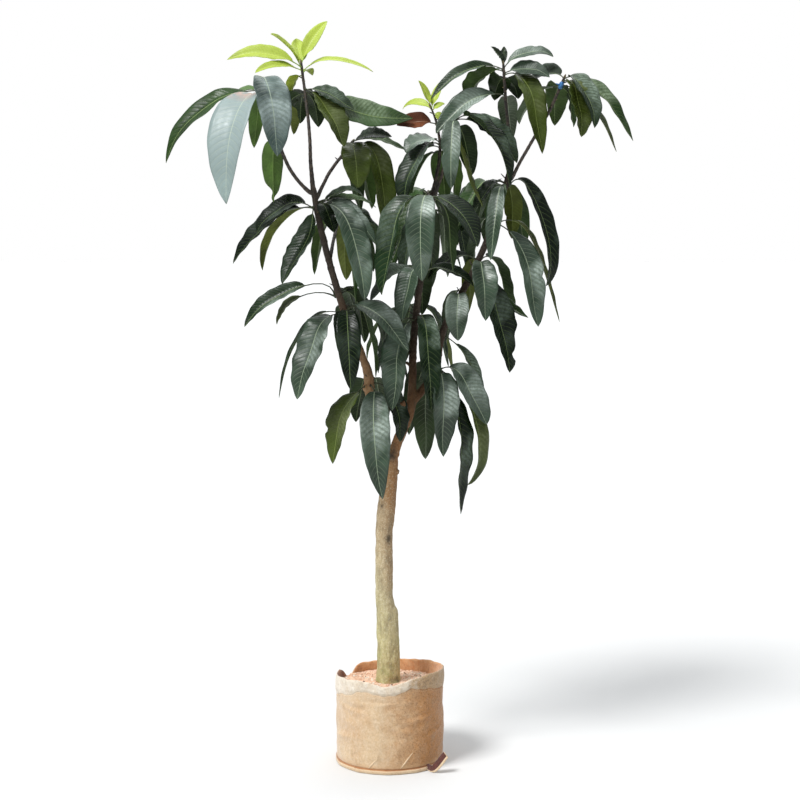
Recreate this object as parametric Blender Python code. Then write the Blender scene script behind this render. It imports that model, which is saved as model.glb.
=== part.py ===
"""A young mango tree, about 2 m tall, standing in a fabric grow bag full of soil.

The trunk forks into three boughs. Every mass of foliage is one solid: a twig, or a collar round its
bough, with the petioles of its leaves sunk in. Metres, +Z up, the origin under the middle of the bag.
"""

import math
import random
from collections import namedtuple

import bmesh
import bpy
from mathutils import Quaternion, Vector
from mathutils.bvhtree import BVHTree

UP = Vector((0, 0, 1))
GAP = 0.0003                  # clearance between one solid and what carries it

# Grow bag and soil
BAG_HEIGHT = 0.258            # mean height of the rim
RIM_TILT = 0.010              # how much higher the rim stands to the right and to the front
RIM_DIPS = ((-1.57, 0.40, 0.019), (2.49, 0.18, 0.030))      # (angle, half width, depth) of its sags
BAG_RADIUS = 0.1490
BAG_WAVE = 0.0015             # how far the bag is out of round
BAG_WALL = 0.004
BASE_LIP = 0.003              # how far the sewn lip round the base stands out
CUFF_HEIGHT = 0.030
CUFF_THICKNESS = 0.0025
BAG_SIDES = 32
SEAM_TAB = (                  # loose end of the base seam: knots (x, y, z, radius)
    (0.1030, -0.1012, 0.0110, 0.0080), (0.1230, -0.1250, 0.0115, 0.0120), (0.1550, -0.1330, 0.0530, 0.0120),
)
SOIL_TOP = 0.221
SOIL_SEAT_RADIUS = 0.050      # the flat round the trunk
SOIL_LUMPS = (0.003, 0.002)   # depths of the two waves that make the soil's surface uneven

# Trunk: knots (x, y, z, radius) from the soil to the fork
TRUNK_KNOTS = (
    (-0.003, 0.000, SOIL_TOP + GAP, 0.0350),
    (-0.003, 0.000, 0.250, 0.0322),
    (-0.004, 0.002, 0.330, 0.0312),
    (-0.007, 0.003, 0.405, 0.0300),
    (-0.013, 0.004, 0.450, 0.0250),
    (-0.0145, 0.004, 0.560, 0.0238),
    (-0.0145, 0.002, 0.640, 0.0238),
    (-0.008, 0.000, 0.710, 0.0248),
    (0.000, 0.000, 0.790, 0.0225),
    (0.002, 0.000, 0.872, 0.0235),
)
ROOT_LOBES = 5
ROOT_FLARE = 0.10             # share of the radius that the root lobes stand out at the soil
ROOT_FLARE_HEIGHT = 0.045
TRUNK_SIDES = 14

# Boughs: knots (x, y, z, radius) from inside what carries them to their tips
LEFT_KNOTS = (
    (-0.002, 0.000, 0.855, 0.0135),
    (-0.026, -0.004, 0.930, 0.0135),
    (-0.052, -0.010, 1.020, 0.0125),
    (-0.056, -0.015, 1.078, 0.0140),
    (-0.072, -0.020, 1.132, 0.0108),
    (-0.120, -0.040, 1.256, 0.0100),
    (-0.146, -0.052, 1.340, 0.0094),
    (-0.170, -0.062, 1.430, 0.0088),
    (-0.190, -0.078, 1.520, 0.0084),
    (-0.202, -0.088, 1.592, 0.0082),
)
MIDDLE_KNOTS = (
    (0.006, 0.000, 0.855, 0.0150),
    (0.036, 0.002, 0.930, 0.0150),
    (0.058, 0.010, 0.990, 0.0140),
    (0.064, 0.016, 1.045, 0.0118),
    (0.065, 0.020, 1.140, 0.0104),
    (0.074, 0.024, 1.247, 0.0098),
    (0.087, 0.026, 1.357, 0.0092),
    (0.101, 0.028, 1.452, 0.0086),
    (0.120, 0.030, 1.583, 0.0078),
)
RIGHT_KNOTS = (
    (0.062, 0.014, 1.005, 0.0110),
    (0.096, 0.022, 1.045, 0.0120),
    (0.128, 0.032, 1.090, 0.0112),
    (0.137, 0.040, 1.150, 0.0102),
    (0.152, 0.050, 1.210, 0.0098),
    (0.190, 0.060, 1.286, 0.0094),
    (0.240, 0.062, 1.383, 0.0088),
    (0.292, 0.058, 1.507, 0.0082),
    (0.328, 0.050, 1.633, 0.0080),
)
LIMB_SIDES = 10
TWIG_SIDES = 6
LIMB_STEPS = 2                # rings to each span between knots

# Foliage
COLLAR_WALL = 0.0042
WHORL_COLLAR = 0.022          # length of a collar that carries a whorl
TWIG_COLLAR = 0.012           # length of a collar that carries a twig
COLLAR_USED = 0.6             # share of a collar's length that petioles start from
FIRST_ROOT = 0.003            # distance of the first petiole from its twig's tip
ROOT_STEP = 0.0045            # distance between one petiole and the next along a twig
PETIOLE_RADIUS = 0.0019
TIP_RADIUS = 0.0008
LEAF_THICKNESS = 0.013        # of the leaf's length, at the midrib
LEAF_FOLD = 0.10              # height of the margins over the midrib, of the leaf's width
LEAF_ARM = 0.36               # reach of the curve's handles, of the distance from root to tip
TURN_DONE = 0.35              # share of the curve by which a leaf has made its turn
CLEAR = 0.0016                # least distance kept between a blade and anything else
GOLDEN_ANGLE = 137.5

# Blade outline: (share of the blade's length, share of its greatest width)
BLADE_OUTLINE = ((0.0, 0.07), (0.12, 0.60), (0.34, 0.96), (0.60, 0.94), (0.84, 0.52), (1.0, 0.03))

# A leaf: how far its tip lies to the right (+X), to the back (+Y) and down from its root, its greatest
# width, the slope of its curve at the root and at the tip in degrees, its turn about its midrib, and
# the share of its curve that is petiole.
Leaf = namedtuple("Leaf", "right back down width rise hang turn stalk", defaults=(0, 0.13))

# A whorl: where its leaves start, counted in metres back from the twig's tip, its leaves, and its
# filling leaves as (how many, middle heading, spread of headings, longest way down).
Whorl = namedtuple("Whorl", "before leaves fill", defaults=((0, 0, 0, 0),))

# A mass: its bough, the height of its collar (None: it grows on from the bough's tip), the knots of
# its twig, and its whorls.
Mass = namedtuple("Mass", "name bough seat twig whorls")

MASSES = (
    Mass("top_flush", "left_bough", None, (
        (-0.208, -0.084, 1.650, 0.0050), (-0.213, -0.060, 1.745, 0.0042),
        (-0.226, -0.030, 1.851, 0.0038), (-0.236, -0.020, 1.926, 0.0034),
    ), (
        Whorl(0.000, (
            Leaf(0.070, 0.01, -0.114, 0.042, 70, 44, 60),
            Leaf(-0.016, 0.03, -0.078, 0.044, 84, 70),
            Leaf(-0.200, 0.00, -0.020, 0.050, 36, -26, -50),
            Leaf(-0.078, -0.02, -0.085, 0.034, 62, 20, -40),
            Leaf(-0.122, -0.05, 0.010, 0.034, 24, -28, -35),
            Leaf(0.190, 0.01, -0.002, 0.028, 54, -30, 30),
            Leaf(0.022, 0.09, -0.004, 0.032, 35, -30),
            Leaf(-0.038, 0.02, 0.052, 0.050, 10, -74),
        )),
        Whorl(0.066, (
            Leaf(0.108, -0.06, 0.158, 0.076, -20, -62, 24),
            Leaf(0.132, -0.02, 0.052, 0.052, 14, -32, 44),
            Leaf(0.290, 0.02, 0.070, 0.086, -26, 0, 56, 0.22),
        ), (3, 95, 110, 0.10)),
    )),
    Mass("left_shoot", "left_bough", 1.582, (
        (-0.250, -0.110, 1.622, 0.0046), (-0.286, -0.150, 1.700, 0.0042), (-0.333, -0.192, 1.862, 0.0034),
    ), (
        Whorl(0.000, (
            Leaf(0.050, -0.10, 0.192, 0.096, 50, -88),
        )),
        Whorl(0.020, (
            Leaf(-0.254, 0.01, 0.186, 0.066, 2, -70, -44),
            Leaf(-0.118, 0.02, 0.040, 0.036, 26, -55, -30),
            Leaf(-0.046, -0.15, 0.286, 0.122, 10, -88),
            Leaf(-0.032, 0.06, 0.132, 0.046, 30, -85),
        ), (4, 90, 150, 0.11)),
        Whorl(0.150, (
            Leaf(-0.014, 0.05, 0.166, 0.058, 10, -80),
        )),
    )),
    Mass("inner_shoot", "left_bough", 1.566, (
        (-0.160, -0.030, 1.635, 0.0044), (-0.122, 0.030, 1.690, 0.0040), (-0.100, 0.060, 1.722, 0.0036),
    ), (
        Whorl(0.000, (
            Leaf(0.155, 0.00, 0.025, 0.034, 25, -22, 30),
            Leaf(0.020, -0.085, 0.125, 0.082, 5, -86),
            Leaf(0.100, -0.03, 0.285, 0.074, 20, -88, 34),
            Leaf(0.115, -0.05, -0.020, 0.050, 45, -12, 40),
            Leaf(0.060, 0.09, 0.170, 0.062, 25, -80),
        ), (3, 60, 80, 0.20)),
    )),
    Mass("left_whorl", "left_bough", 1.546, (), (
        Whorl(0.000, (
            Leaf(-0.150, 0.01, 0.066, 0.062, 42, -66, -42),
            Leaf(-0.222, -0.02, 0.150, 0.064, 6, -50, -44),
            Leaf(-0.160, 0.03, 0.172, 0.050, 6, -78, -6),
            Leaf(-0.080, -0.07, 0.202, 0.086, -84, -56, 0, 0.07),
            Leaf(0.042, -0.05, 0.070, 0.052, 40, -75, 20),
            Leaf(0.148, -0.03, 0.108, 0.056, 28, -62, 40),
            Leaf(0.115, 0.02, -0.022, 0.036, 50, -50, 25),
            Leaf(0.135, -0.07, 0.250, 0.072, 15, -74, 25),
            Leaf(0.095, 0.03, 0.270, 0.056, 15, -82, 30),
            Leaf(0.150, 0.04, 0.010, 0.036, 22, -32, 30),
            Leaf(0.095, -0.06, 0.170, 0.064, 30, -80, 20),
            Leaf(0.130, 0.05, 0.220, 0.062, 25, -78, 30),
        ), (2, 45, 50, 0.20)),
    )),
    Mass("left_middle_whorl", "left_bough", 1.307, (), (
        Whorl(0.000, (
            Leaf(-0.246, 0.00, 0.080, 0.050, 84, -54, -46, 0.42),
            Leaf(-0.160, 0.03, 0.078, 0.050, 30, -84, -30, 0.48),
            Leaf(0.060, 0.07, 0.140, 0.060, 30, -80),
            Leaf(0.110, -0.03, -0.010, 0.070, 50, -60, 30),
        ), (2, 50, 50, 0.18)),
    )),
    Mass("left_lower_whorl", "left_bough", 1.262, (), (
        Whorl(0.000, (
            Leaf(-0.116, -0.09, 0.222, 0.092, 10, -80, -15),
            Leaf(-0.172, 0.04, 0.235, 0.036, 20, -80, -20),
            Leaf(-0.005, -0.06, 0.075, 0.046, 35, -75),
            Leaf(0.018, -0.07, 0.205, 0.066, 25, -85),
            Leaf(0.165, -0.10, 0.105, 0.084, 42, -48, 20),
            Leaf(0.075, 0.06, 0.190, 0.060, 25, -82),
        ), (2, 80, 60, 0.20)),
    )),
    Mass("fork_whorl", "left_bough", 1.062, (), (
        Whorl(0.000, (
            Leaf(-0.086, -0.09, 0.202, 0.082, -20, -80),
            Leaf(0.034, -0.12, 0.296, 0.084, -8, -86),
            Leaf(0.070, -0.02, 0.160, 0.066, 0, -84, 30),
            Leaf(-0.034, 0.10, 0.125, 0.060, 25, -80),
        ), (1, 60, 40, 0.18)),
    )),
    Mass("middle_shoot", "middle_bough", None, (
        (0.134, 0.024, 1.650, 0.0046), (0.138, 0.010, 1.715, 0.0040), (0.126, 0.006, 1.776, 0.0028),
        (0.112, 0.004, 1.812, 0.0022),
    ), (
        Whorl(0.000, (
            Leaf(-0.034, 0.00, -0.072, 0.022, 75, 40, 50),
            Leaf(0.026, 0.02, -0.076, 0.024, 80, 70, 30),
            Leaf(0.034, 0.00, -0.018, 0.020, 50, -10, 50),
            Leaf(-0.082, 0.01, -0.012, 0.024, 62, -50, -50),
            Leaf(0.024, -0.01, 0.024, 0.022, 10, -60, 50),
        )),
        Whorl(0.046, (
            Leaf(-0.108, 0.00, 0.004, 0.050, 12, -18, -62),
        )),
        Whorl(0.098, (
            Leaf(-0.092, -0.06, 0.030, 0.070, 40, -62, -20),
            Leaf(-0.098, -0.09, 0.165, 0.078, 20, -84),
            Leaf(0.044, 0.03, 0.150, 0.050, 30, -86),
            Leaf(-0.100, 0.04, 0.080, 0.058, 30, -70, -30),
        ), (4, 90, 150, 0.19)),
    )),
    Mass("side_shoot", "middle_bough", 1.560, (
        (0.140, -0.010, 1.620, 0.0044), (0.162, -0.030, 1.700, 0.0040), (0.180, -0.035, 1.778, 0.0034),
    ), (
        Whorl(0.000, (
            Leaf(0.165, 0.00, 0.116, 0.068, 8, -66, 50),
            Leaf(0.148, -0.03, 0.176, 0.080, 46, -86),
            Leaf(-0.012, -0.06, 0.178, 0.054, 25, -88),
            Leaf(0.078, 0.02, 0.220, 0.056, -78, -60, 20),
        ), (3, 100, 110, 0.17)),
    )),
    Mass("front_shoot", "middle_bough", 1.480, (
        (0.104, -0.060, 1.530, 0.0044), (0.098, -0.240, 1.566, 0.0040),
    ), (
        Whorl(0.000, (
            Leaf(-0.012, -0.08, 0.214, 0.076, 25, -88),
            Leaf(-0.108, -0.06, 0.250, 0.088, 15, -82, -15),
            Leaf(-0.080, 0.05, 0.060, 0.054, 40, -60, -30),
            Leaf(0.130, -0.06, 0.125, 0.084, 20, -64, 20),
            Leaf(0.070, 0.04, 0.190, 0.064, 20, -80),
        )),
    )),
    Mass("back_shoot", "middle_bough", 1.440, (
        (0.110, 0.150, 1.500, 0.0046), (0.112, 0.340, 1.590, 0.0038),
    ), (
        Whorl(0.000, (), (9, 90, 360, 0.25)),
        Whorl(0.150, (), (4, 90, 300, 0.22)),
    )),
    Mass("middle_whorl", "middle_bough", 1.370, (), (
        Whorl(0.000, (
            Leaf(-0.046, -0.07, 0.130, 0.070, 45, -86),
            Leaf(0.130, 0.02, 0.040, 0.052, 36, -50, 30),
            Leaf(-0.130, -0.02, 0.088, 0.092, 14, -46, -24),
        ), (2, 90, 60, 0.14)),
    )),
    Mass("middle_lower_whorl", "middle_bough", 1.235, (), (
        Whorl(0.000, (
            Leaf(0.036, -0.07, 0.240, 0.068, 50, -88),
            Leaf(-0.080, -0.07, 0.240, 0.084, 0, -76),
            Leaf(-0.012, 0.05, 0.180, 0.050, 20, -84),
        ), (2, 90, 60, 0.20)),
    )),
    Mass("lower_back_shoot", "middle_bough", 1.140, (
        (0.066, 0.100, 1.190, 0.0044), (0.072, 0.240, 1.262, 0.0036),
    ), (
        Whorl(0.000, (), (7, 90, 300, 0.20)),
    )),
    Mass("high_shoot", "right_bough", None, (
        (0.328, 0.040, 1.725, 0.0048), (0.318, 0.020, 1.813, 0.0042), (0.308, 0.000, 1.924, 0.0034),
    ), (
        Whorl(0.000, (
            Leaf(-0.034, 0.00, -0.050, 0.026, 70, 30, -40),
            Leaf(0.004, 0.02, -0.060, 0.020, 85, 78),
            Leaf(0.134, 0.00, -0.032, 0.036, 62, -42, 50),
        )),
        Whorl(0.012, (
            Leaf(-0.198, 0.00, 0.080, 0.040, 30, -52, -40),
            Leaf(-0.096, 0.08, 0.074, 0.084, 28, -66),
            Leaf(0.122, -0.02, 0.012, 0.050, 26, -36, 55),
            Leaf(0.102, -0.04, 0.212, 0.074, 24, -80, 36),
        ), (3, 90, 100, 0.06)),
        Whorl(0.080, (
            Leaf(-0.195, -0.03, 0.105, 0.062, 14, -56, -45),
        ), (1, 100, 60, 0.15)),
    )),
    Mass("outer_shoot", "right_bough", 1.622, (
        (0.372, 0.034, 1.690, 0.0044), (0.432, 0.010, 1.796, 0.0040), (0.472, -0.010, 1.888, 0.0036),
    ), (
        Whorl(0.000, (
            Leaf(-0.096, 0.05, 0.030, 0.066, 56, -84, -40),
            Leaf(0.080, -0.05, 0.130, 0.070, 44, -88, 20),
            Leaf(0.034, -0.09, 0.150, 0.074, 20, -86),
            Leaf(0.200, 0.00, 0.152, 0.060, 22, -60, 42),
            Leaf(0.158, 0.05, 0.176, 0.054, -4, -60, 34),
        ), (3, 90, 120, 0.10)),
    )),
    Mass("right_whorl", "right_bough", 1.602, (), (
        Whorl(0.000, (
            Leaf(-0.025, -0.05, 0.105, 0.050, 38, -86),
            Leaf(-0.076, -0.03, 0.066, 0.052, 38, -60, -30),
            Leaf(0.020, 0.06, 0.145, 0.054, 25, -84),
            Leaf(0.103, 0.00, 0.274, 0.064, 62, -118, 42),
            Leaf(-0.058, -0.05, 0.205, 0.048, 0, -86),
        ), (2, 120, 60, 0.16)),
    )),
    Mass("right_upper_whorl", "right_bough", 1.505, (), (
        Whorl(0.000, (
            Leaf(0.110, -0.06, 0.280, 0.074, -20, -76, 30),
            Leaf(0.175, 0.03, 0.275, 0.040, 25, -68, 20),
        ), (2, 100, 60, 0.20)),
    )),
    Mass("right_back_shoot", "right_bough", 1.455, (
        (0.284, 0.140, 1.530, 0.0044), (0.300, 0.300, 1.610, 0.0036),
    ), (
        Whorl(0.000, (), (8, 140, 220, 0.18)),
    )),
    Mass("right_middle_whorl", "right_bough", 1.395, (), (
        Whorl(0.000, (
            Leaf(0.018, -0.07, 0.155, 0.072, 30, -88),
            Leaf(0.132, 0.00, 0.150, 0.050, -80, -20, 36, 0.30),
            Leaf(0.078, -0.06, 0.300, 0.084, -62, -84, 20),
            Leaf(-0.132, -0.01, 0.060, 0.052, 32, -55, -36),
        ), (2, 90, 90, 0.19)),
    )),
    Mass("right_inner_whorl", "right_bough", 1.300, (), (
        Whorl(0.000, (
            Leaf(-0.006, -0.05, 0.120, 0.066, 45, -90),
        ), (1, 80, 40, 0.14)),
    )),
    Mass("right_lower_whorl", "right_bough", 1.192, (), (
        Whorl(0.000, (
            Leaf(0.112, 0.00, 0.212, 0.046, -30, -74, 36),
        ), (1, 120, 30, 0.12)),
    )),
    Mass("right_base_whorl", "right_bough", 1.095, (), (
        Whorl(0.000, (
            Leaf(0.016, -0.09, 0.230, 0.078, 14, -88),
            Leaf(-0.022, 0.06, 0.256, 0.074, -8, -86),
            Leaf(0.052, -0.04, 0.400, 0.084, -55, -90, 20),
            Leaf(0.076, 0.02, 0.325, 0.068, -30, -132, 46),
            Leaf(0.126, -0.05, 0.148, 0.080, 30, -62, 34),
        ), (1, 100, 40, 0.22)),
    )),
    Mass("left_back_shoot", "left_bough", 1.400, (
        (-0.150, 0.060, 1.470, 0.0044), (-0.140, 0.240, 1.540, 0.0036),
    ), (
        Whorl(0.000, (
            Leaf(0.060, -0.03, 0.190, 0.066, 25, -86),
            Leaf(0.124, 0.02, 0.180, 0.072, 25, -80, 30),
        ), (5, 70, 150, 0.20)),
    )),
)

# Filling leaves: range of each measure
FILL_REACH = (0.090, 0.175)
FILL_DROP = (0.70, 1.0)      # of the longest way down
FILL_WIDTH = (0.050, 0.072)
FILL_RISE = (15, 45)
FILL_HANG = (-88, -65)
FILL_TURN = (-30, 30)
SEED = 7
# What is tried in turn to keep a leaf off its neighbours: (swing in degrees, tip moved back in metres)
TRIES = (
    (0, 0), (8, 0), (-8, 0), (0, -0.025), (0, 0.025), (8, 0.025), (-8, -0.025), (16, 0), (-16, 0),
    (0, -0.05), (0, 0.05), (-16, 0.03), (16, -0.03), (26, 0), (-26, 0),
)

# Colours
COLOURS = {
    "bag": (0.66, 0.46, 0.27), "soil": (0.42, 0.22, 0.13), "bark": (0.42, 0.34, 0.22),
    "bough": (0.22, 0.12, 0.06), "leaf": (0.035, 0.10, 0.05), "flush": (0.35, 0.55, 0.06),
}


def clear_scene():
    for old in list(bpy.data.objects):
        bpy.data.objects.remove(old, do_unlink=True)


def material(name, roughness):
    found = bpy.data.materials.get(name)
    if found:
        return found
    made = bpy.data.materials.new(name)
    made.use_nodes = True
    shader = made.node_tree.nodes["Principled BSDF"]
    shader.inputs["Base Color"].default_value = (*COLOURS[name], 1)
    shader.inputs["Roughness"].default_value = roughness
    return made


def make_object(name, points, faces, finish=None):
    mesh = bpy.data.meshes.new(name)
    mesh.from_pydata([tuple(point) for point in points], [], faces)
    mesh.update()
    made = bpy.data.objects.new(name, mesh)
    bpy.context.scene.collection.objects.link(made)
    if finish:
        mesh.materials.append(finish)
    return made


def between(low, high, share):
    return low + (high - low) * share


def smooth_curve(knots, steps):
    """Points (x, y, z, radius) on a Catmull-Rom curve through the knots, steps to each span."""
    knots = [Vector(knot) for knot in knots]
    ends = [knots[0] * 2 - knots[1], *knots, knots[-1] * 2 - knots[-2]]
    points = []
    for before, start, end, after in zip(ends, ends[1:], ends[2:], ends[3:]):
        for step in range(steps):
            t = step / steps
            points.append(0.5 * (
                2 * start + (end - before) * t + (2 * before - 5 * start + 4 * end - after) * t * t
                + (3 * start - before - 3 * end + after) * t ** 3
            ))
    return points + [knots[-1]]


class Limb:
    """A tapering limb: rings of points on a smooth curve, turned as little as possible between them."""

    def __init__(self, knots, sides, steps=LIMB_STEPS, start=None, shape=None):
        points = smooth_curve(knots, steps)
        self.centres = [point.to_3d() for point in points]
        self.radii = [point[3] for point in points]
        self.sides = sides
        self.directions = self.find_directions(start)
        self.shape = shape or (lambda centre, angle: 1.0)
        self.rings = self.find_rings()

    def find_directions(self, start):
        ahead = [b - a for a, b in zip(self.centres, self.centres[1:])]
        middle = [(a.normalized() + b.normalized()).normalized() for a, b in zip(ahead, ahead[1:])]
        return [(start or ahead[0]).normalized(), *middle, ahead[-1].normalized()]

    def find_rings(self):
        side = self.directions[0].cross(Vector((0, 1, 0))).normalized()
        before = self.directions[0]
        rings = []
        for centre, radius, direction in zip(self.centres, self.radii, self.directions):
            side = before.rotation_difference(direction) @ side
            before = direction
            ring = []
            for i in range(self.sides):
                angle = math.tau * i / self.sides
                arm = Quaternion(direction, angle) @ side
                ring.append(centre + arm * radius * self.shape(centre, angle))
            rings.append(ring)
        return rings

    def mesh(self, grow=0.0):
        """Points and faces of the limb, larger all round by grow."""
        points = []
        last = len(self.rings) - 1
        for i, (ring, centre) in enumerate(zip(self.rings, self.centres)):
            shift = self.directions[i] * (grow if i == last else -grow if i == 0 else 0)
            points += [p + (p - centre).normalized() * grow + shift for p in ring]
        return points, tube_faces(len(self.rings), self.sides)

    def station(self, height):
        """Fractional ring number at which the limb's centre line is at a height."""
        for i, (low, high) in enumerate(zip(self.centres, self.centres[1:])):
            if low.z <= height <= high.z:
                return i + (height - low.z) / (high.z - low.z)
        raise ValueError("height is off the limb")

    def from_tip(self, back):
        """Fractional ring number at a distance back from the tip."""
        for i in range(len(self.centres) - 2, -1, -1):
            span = (self.centres[i + 1] - self.centres[i]).length
            if back <= span:
                return i + 1 - back / span
            back -= span
        return 0.0

    def at(self, station):
        """Centre, radius and direction at a fractional ring number."""
        i = min(int(station), len(self.centres) - 2)
        share = station - i
        centre = self.centres[i].lerp(self.centres[i + 1], share)
        radius = between(self.radii[i], self.radii[i + 1], share)
        return centre, radius, (self.centres[i + 1] - self.centres[i]).normalized()

    def ring(self, station, grow):
        """The limb's outline at a fractional ring number, larger all round by grow."""
        i = min(int(station), len(self.centres) - 2)
        share = station - i
        centre = self.at(station)[0]
        outline = [a.lerp(b, share) for a, b in zip(self.rings[i], self.rings[i + 1])]
        return [p + (p - centre).normalized() * grow for p in outline]

    def collar_mesh(self, low, high):
        """A sleeve round the limb between two heights, clear of it by GAP."""
        first, last = self.station(low), self.station(high)
        stations = [first, *range(math.ceil(first + 0.05), math.floor(last - 0.05) + 1), last]
        outer = [self.ring(station, GAP + COLLAR_WALL) for station in stations]
        inner = [self.ring(station, GAP) for station in reversed(stations)]
        rings = outer + inner
        sides = self.sides
        faces = []
        for i in range(len(rings)):
            here, there = i * sides, (i + 1) % len(rings) * sides
            for j in range(sides):
                k = (j + 1) % sides
                faces.append((here + j, here + k, there + k, there + j))
        return [point for ring in rings for point in ring], faces


def tube_faces(rings, sides):
    faces = [tuple(reversed(range(sides))), tuple(range((rings - 1) * sides, rings * sides))]
    for i in range(rings - 1):
        for j in range(sides):
            k = (j + 1) % sides
            faces.append((i * sides + j, i * sides + k, (i + 1) * sides + k, (i + 1) * sides + j))
    return faces


def trunk_shape(centre, angle):
    """Root lobes that fade out above the soil."""
    height = centre.z - SOIL_TOP
    fade = max(0.0, 1 - height / ROOT_FLARE_HEIGHT)
    return 1 + ROOT_FLARE * fade * fade * math.cos(ROOT_LOBES * angle + 0.6)


def leaf_mesh(root, leaf, extra=0.0, blade_only=False):
    """Points and faces of a leaf: petiole and blade on one curve, four points to a ring.

    extra fattens it all round, for the test of what it would touch, and blade_only leaves off the petiole.
    """
    out = Vector((leaf.right, leaf.back, 0)).normalized()
    across = Vector((-out.y, out.x, 0))
    tip = root + Vector((leaf.right, leaf.back, -leaf.down))
    span = (tip - root).length

    def slope(degrees):
        angle = math.radians(degrees)
        return (out * math.cos(angle) + UP * math.sin(angle)) * span * LEAF_ARM

    handles = (root, root + slope(leaf.rise), tip - slope(leaf.hang), tip)
    half_depth = max(LEAF_THICKNESS * span / 2, PETIOLE_RADIUS)
    stations = [] if blade_only else [(0.0, 0.0)]
    stations += [(between(leaf.stalk, 1, along), width) for along, width in BLADE_OUTLINE]
    points = []
    for t, width in stations:
        centre = bezier(handles, t)
        along = bezier_slope(handles, t).normalized()
        side = Quaternion(along, math.radians(leaf.turn) * min(1.0, t / TURN_DONE)) @ across
        face = along.cross(side)
        least = PETIOLE_RADIUS if t < 1 else TIP_RADIUS
        half = max(leaf.width * width / 2, least) + extra
        depth = (half_depth if width > BLADE_OUTLINE[0][1] and t < 1 else least) + extra
        lift = face * leaf.width * width * LEAF_FOLD
        points += [centre + side * half + lift, centre + face * depth,
                   centre - side * half + lift, centre - face * depth]
    return points, tube_faces(len(stations), 4)


def bezier(handles, t):
    a, b, c, d = handles
    return a * (1 - t) ** 3 + b * 3 * t * (1 - t) ** 2 + c * 3 * t * t * (1 - t) + d * t ** 3


def bezier_slope(handles, t):
    a, b, c, d = handles
    return (b - a) * (1 - t) ** 2 + (c - b) * 2 * t * (1 - t) + (d - c) * t * t


def touches(root, leaf, mass, placed):
    """Whether a leaf would come near anything placed before; petioles of one mass may meet."""
    blade = BVHTree.FromPolygons(*leaf_mesh(root, leaf, CLEAR, True))
    whole = BVHTree.FromPolygons(*leaf_mesh(root, leaf, GAP * 2))
    return any(
        blade.overlap(tree) or (owner not in (mass.name, mass.bough) and whole.overlap(tree))
        for owner, tree in placed
    )


def filling_leaves(whorl, rng):
    """Leaves set round the twig at the golden angle, inside the whorl's spread of headings."""
    count, middle, spread, down = whorl.fill
    turn = rng.uniform(0, 360)
    for _ in range(count):
        turn = (turn + GOLDEN_ANGLE) % 360
        heading = math.radians(middle + (turn / 360 - 0.5) * spread)
        reach = rng.uniform(*FILL_REACH)
        yield Leaf(
            reach * math.cos(heading), reach * math.sin(heading), down * rng.uniform(*FILL_DROP),
            rng.uniform(*FILL_WIDTH), rng.uniform(*FILL_RISE), rng.uniform(*FILL_HANG),
            rng.uniform(*FILL_TURN),
        )


def moved_leaf(leaf, swing, back):
    """The leaf swung round its root by some degrees, and its tip moved back."""
    angle = math.radians(swing)
    return leaf._replace(
        right=leaf.right * math.cos(angle) - leaf.back * math.sin(angle),
        back=leaf.right * math.sin(angle) + leaf.back * math.cos(angle) + back,
    )


def petiole_root(limb, station, leaf, start):
    """Where a petiole starts: start metres out from the limb's centre line, towards its leaf."""
    centre, _, along = limb.at(station)
    out = Vector((leaf.right, leaf.back, 0)).normalized()
    out = (out - along * out.dot(along)).normalized()
    return centre + out * start


def grow_twig(mass, bough):
    """The twig of a mass, from the middle of its collar's wall or from just off the bough's tip."""
    if not mass.twig:
        return None
    if mass.seat is None:
        out = bough.directions[-1]
        start = bough.centres[-1] + out * GAP
        return Limb(((*start, bough.radii[-1] * 0.8), *mass.twig), TWIG_SIDES, LIMB_STEPS, out)
    centre, radius, along = bough.at(bough.station(mass.seat))
    out = Vector(mass.twig[0][:3]) - centre
    out = (out - along * out.dot(along)).normalized()
    start = centre + out * (radius + GAP + COLLAR_WALL / 2)
    return Limb(((*start, mass.twig[0][3]), *mass.twig), TWIG_SIDES, LIMB_STEPS, out)


def grow_leaves(mass, bough, twig, whorl, leaves, first, placed):
    """(root, leaf) pairs for the leaves that can be placed clear of all that was placed before.

    first is the number of the first of these leaves in its whorl, which sets where it has its root.
    """
    grown = []
    count = len(whorl.leaves) + whorl.fill[0]
    for i, leaf in enumerate(leaves, first):
        if twig:
            limb, station, start = twig, twig.from_tip(whorl.before + FIRST_ROOT + i * ROOT_STEP), 0.0
        else:
            along = ((i + 0.5) / count - 0.5) * COLLAR_USED
            limb, station = bough, bough.station(mass.seat + WHORL_COLLAR * along)
            start = bough.at(station)[1] + GAP + COLLAR_WALL / 2
        for swing, back in TRIES:
            tried = moved_leaf(leaf, swing, back)
            root = petiole_root(limb, station, tried, start)
            if not touches(root, tried, mass, placed):
                grown.append((root, tried))
                placed.append((mass.name, BVHTree.FromPolygons(*leaf_mesh(root, tried))))
                break
    return grown


def plan_foliage(trunk, boughs):
    """Each mass's twig and its leaves as (root, leaf) pairs: first all the set leaves, then the filling."""
    twigs = {mass.name: grow_twig(mass, boughs[mass.bough]) for mass in MASSES}
    placed = [("trunk", BVHTree.FromPolygons(*trunk.mesh()))]
    placed += [(name, BVHTree.FromPolygons(*limb.mesh())) for name, limb in boughs.items()]
    for mass in MASSES:
        placed += [(mass.name, BVHTree.FromPolygons(*shape)) for shape in mass_stem(mass, boughs, twigs)]
    leaves = {mass.name: [] for mass in MASSES}
    for mass in MASSES:
        for whorl in mass.whorls:
            leaves[mass.name] += grow_leaves(
                mass, boughs[mass.bough], twigs[mass.name], whorl, whorl.leaves, 0, placed)
    rng = random.Random(SEED)
    for mass in MASSES:
        for whorl in mass.whorls:
            filling = list(filling_leaves(whorl, rng))
            leaves[mass.name] += grow_leaves(
                mass, boughs[mass.bough], twigs[mass.name], whorl, filling, len(whorl.leaves), placed)
    return twigs, leaves


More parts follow.
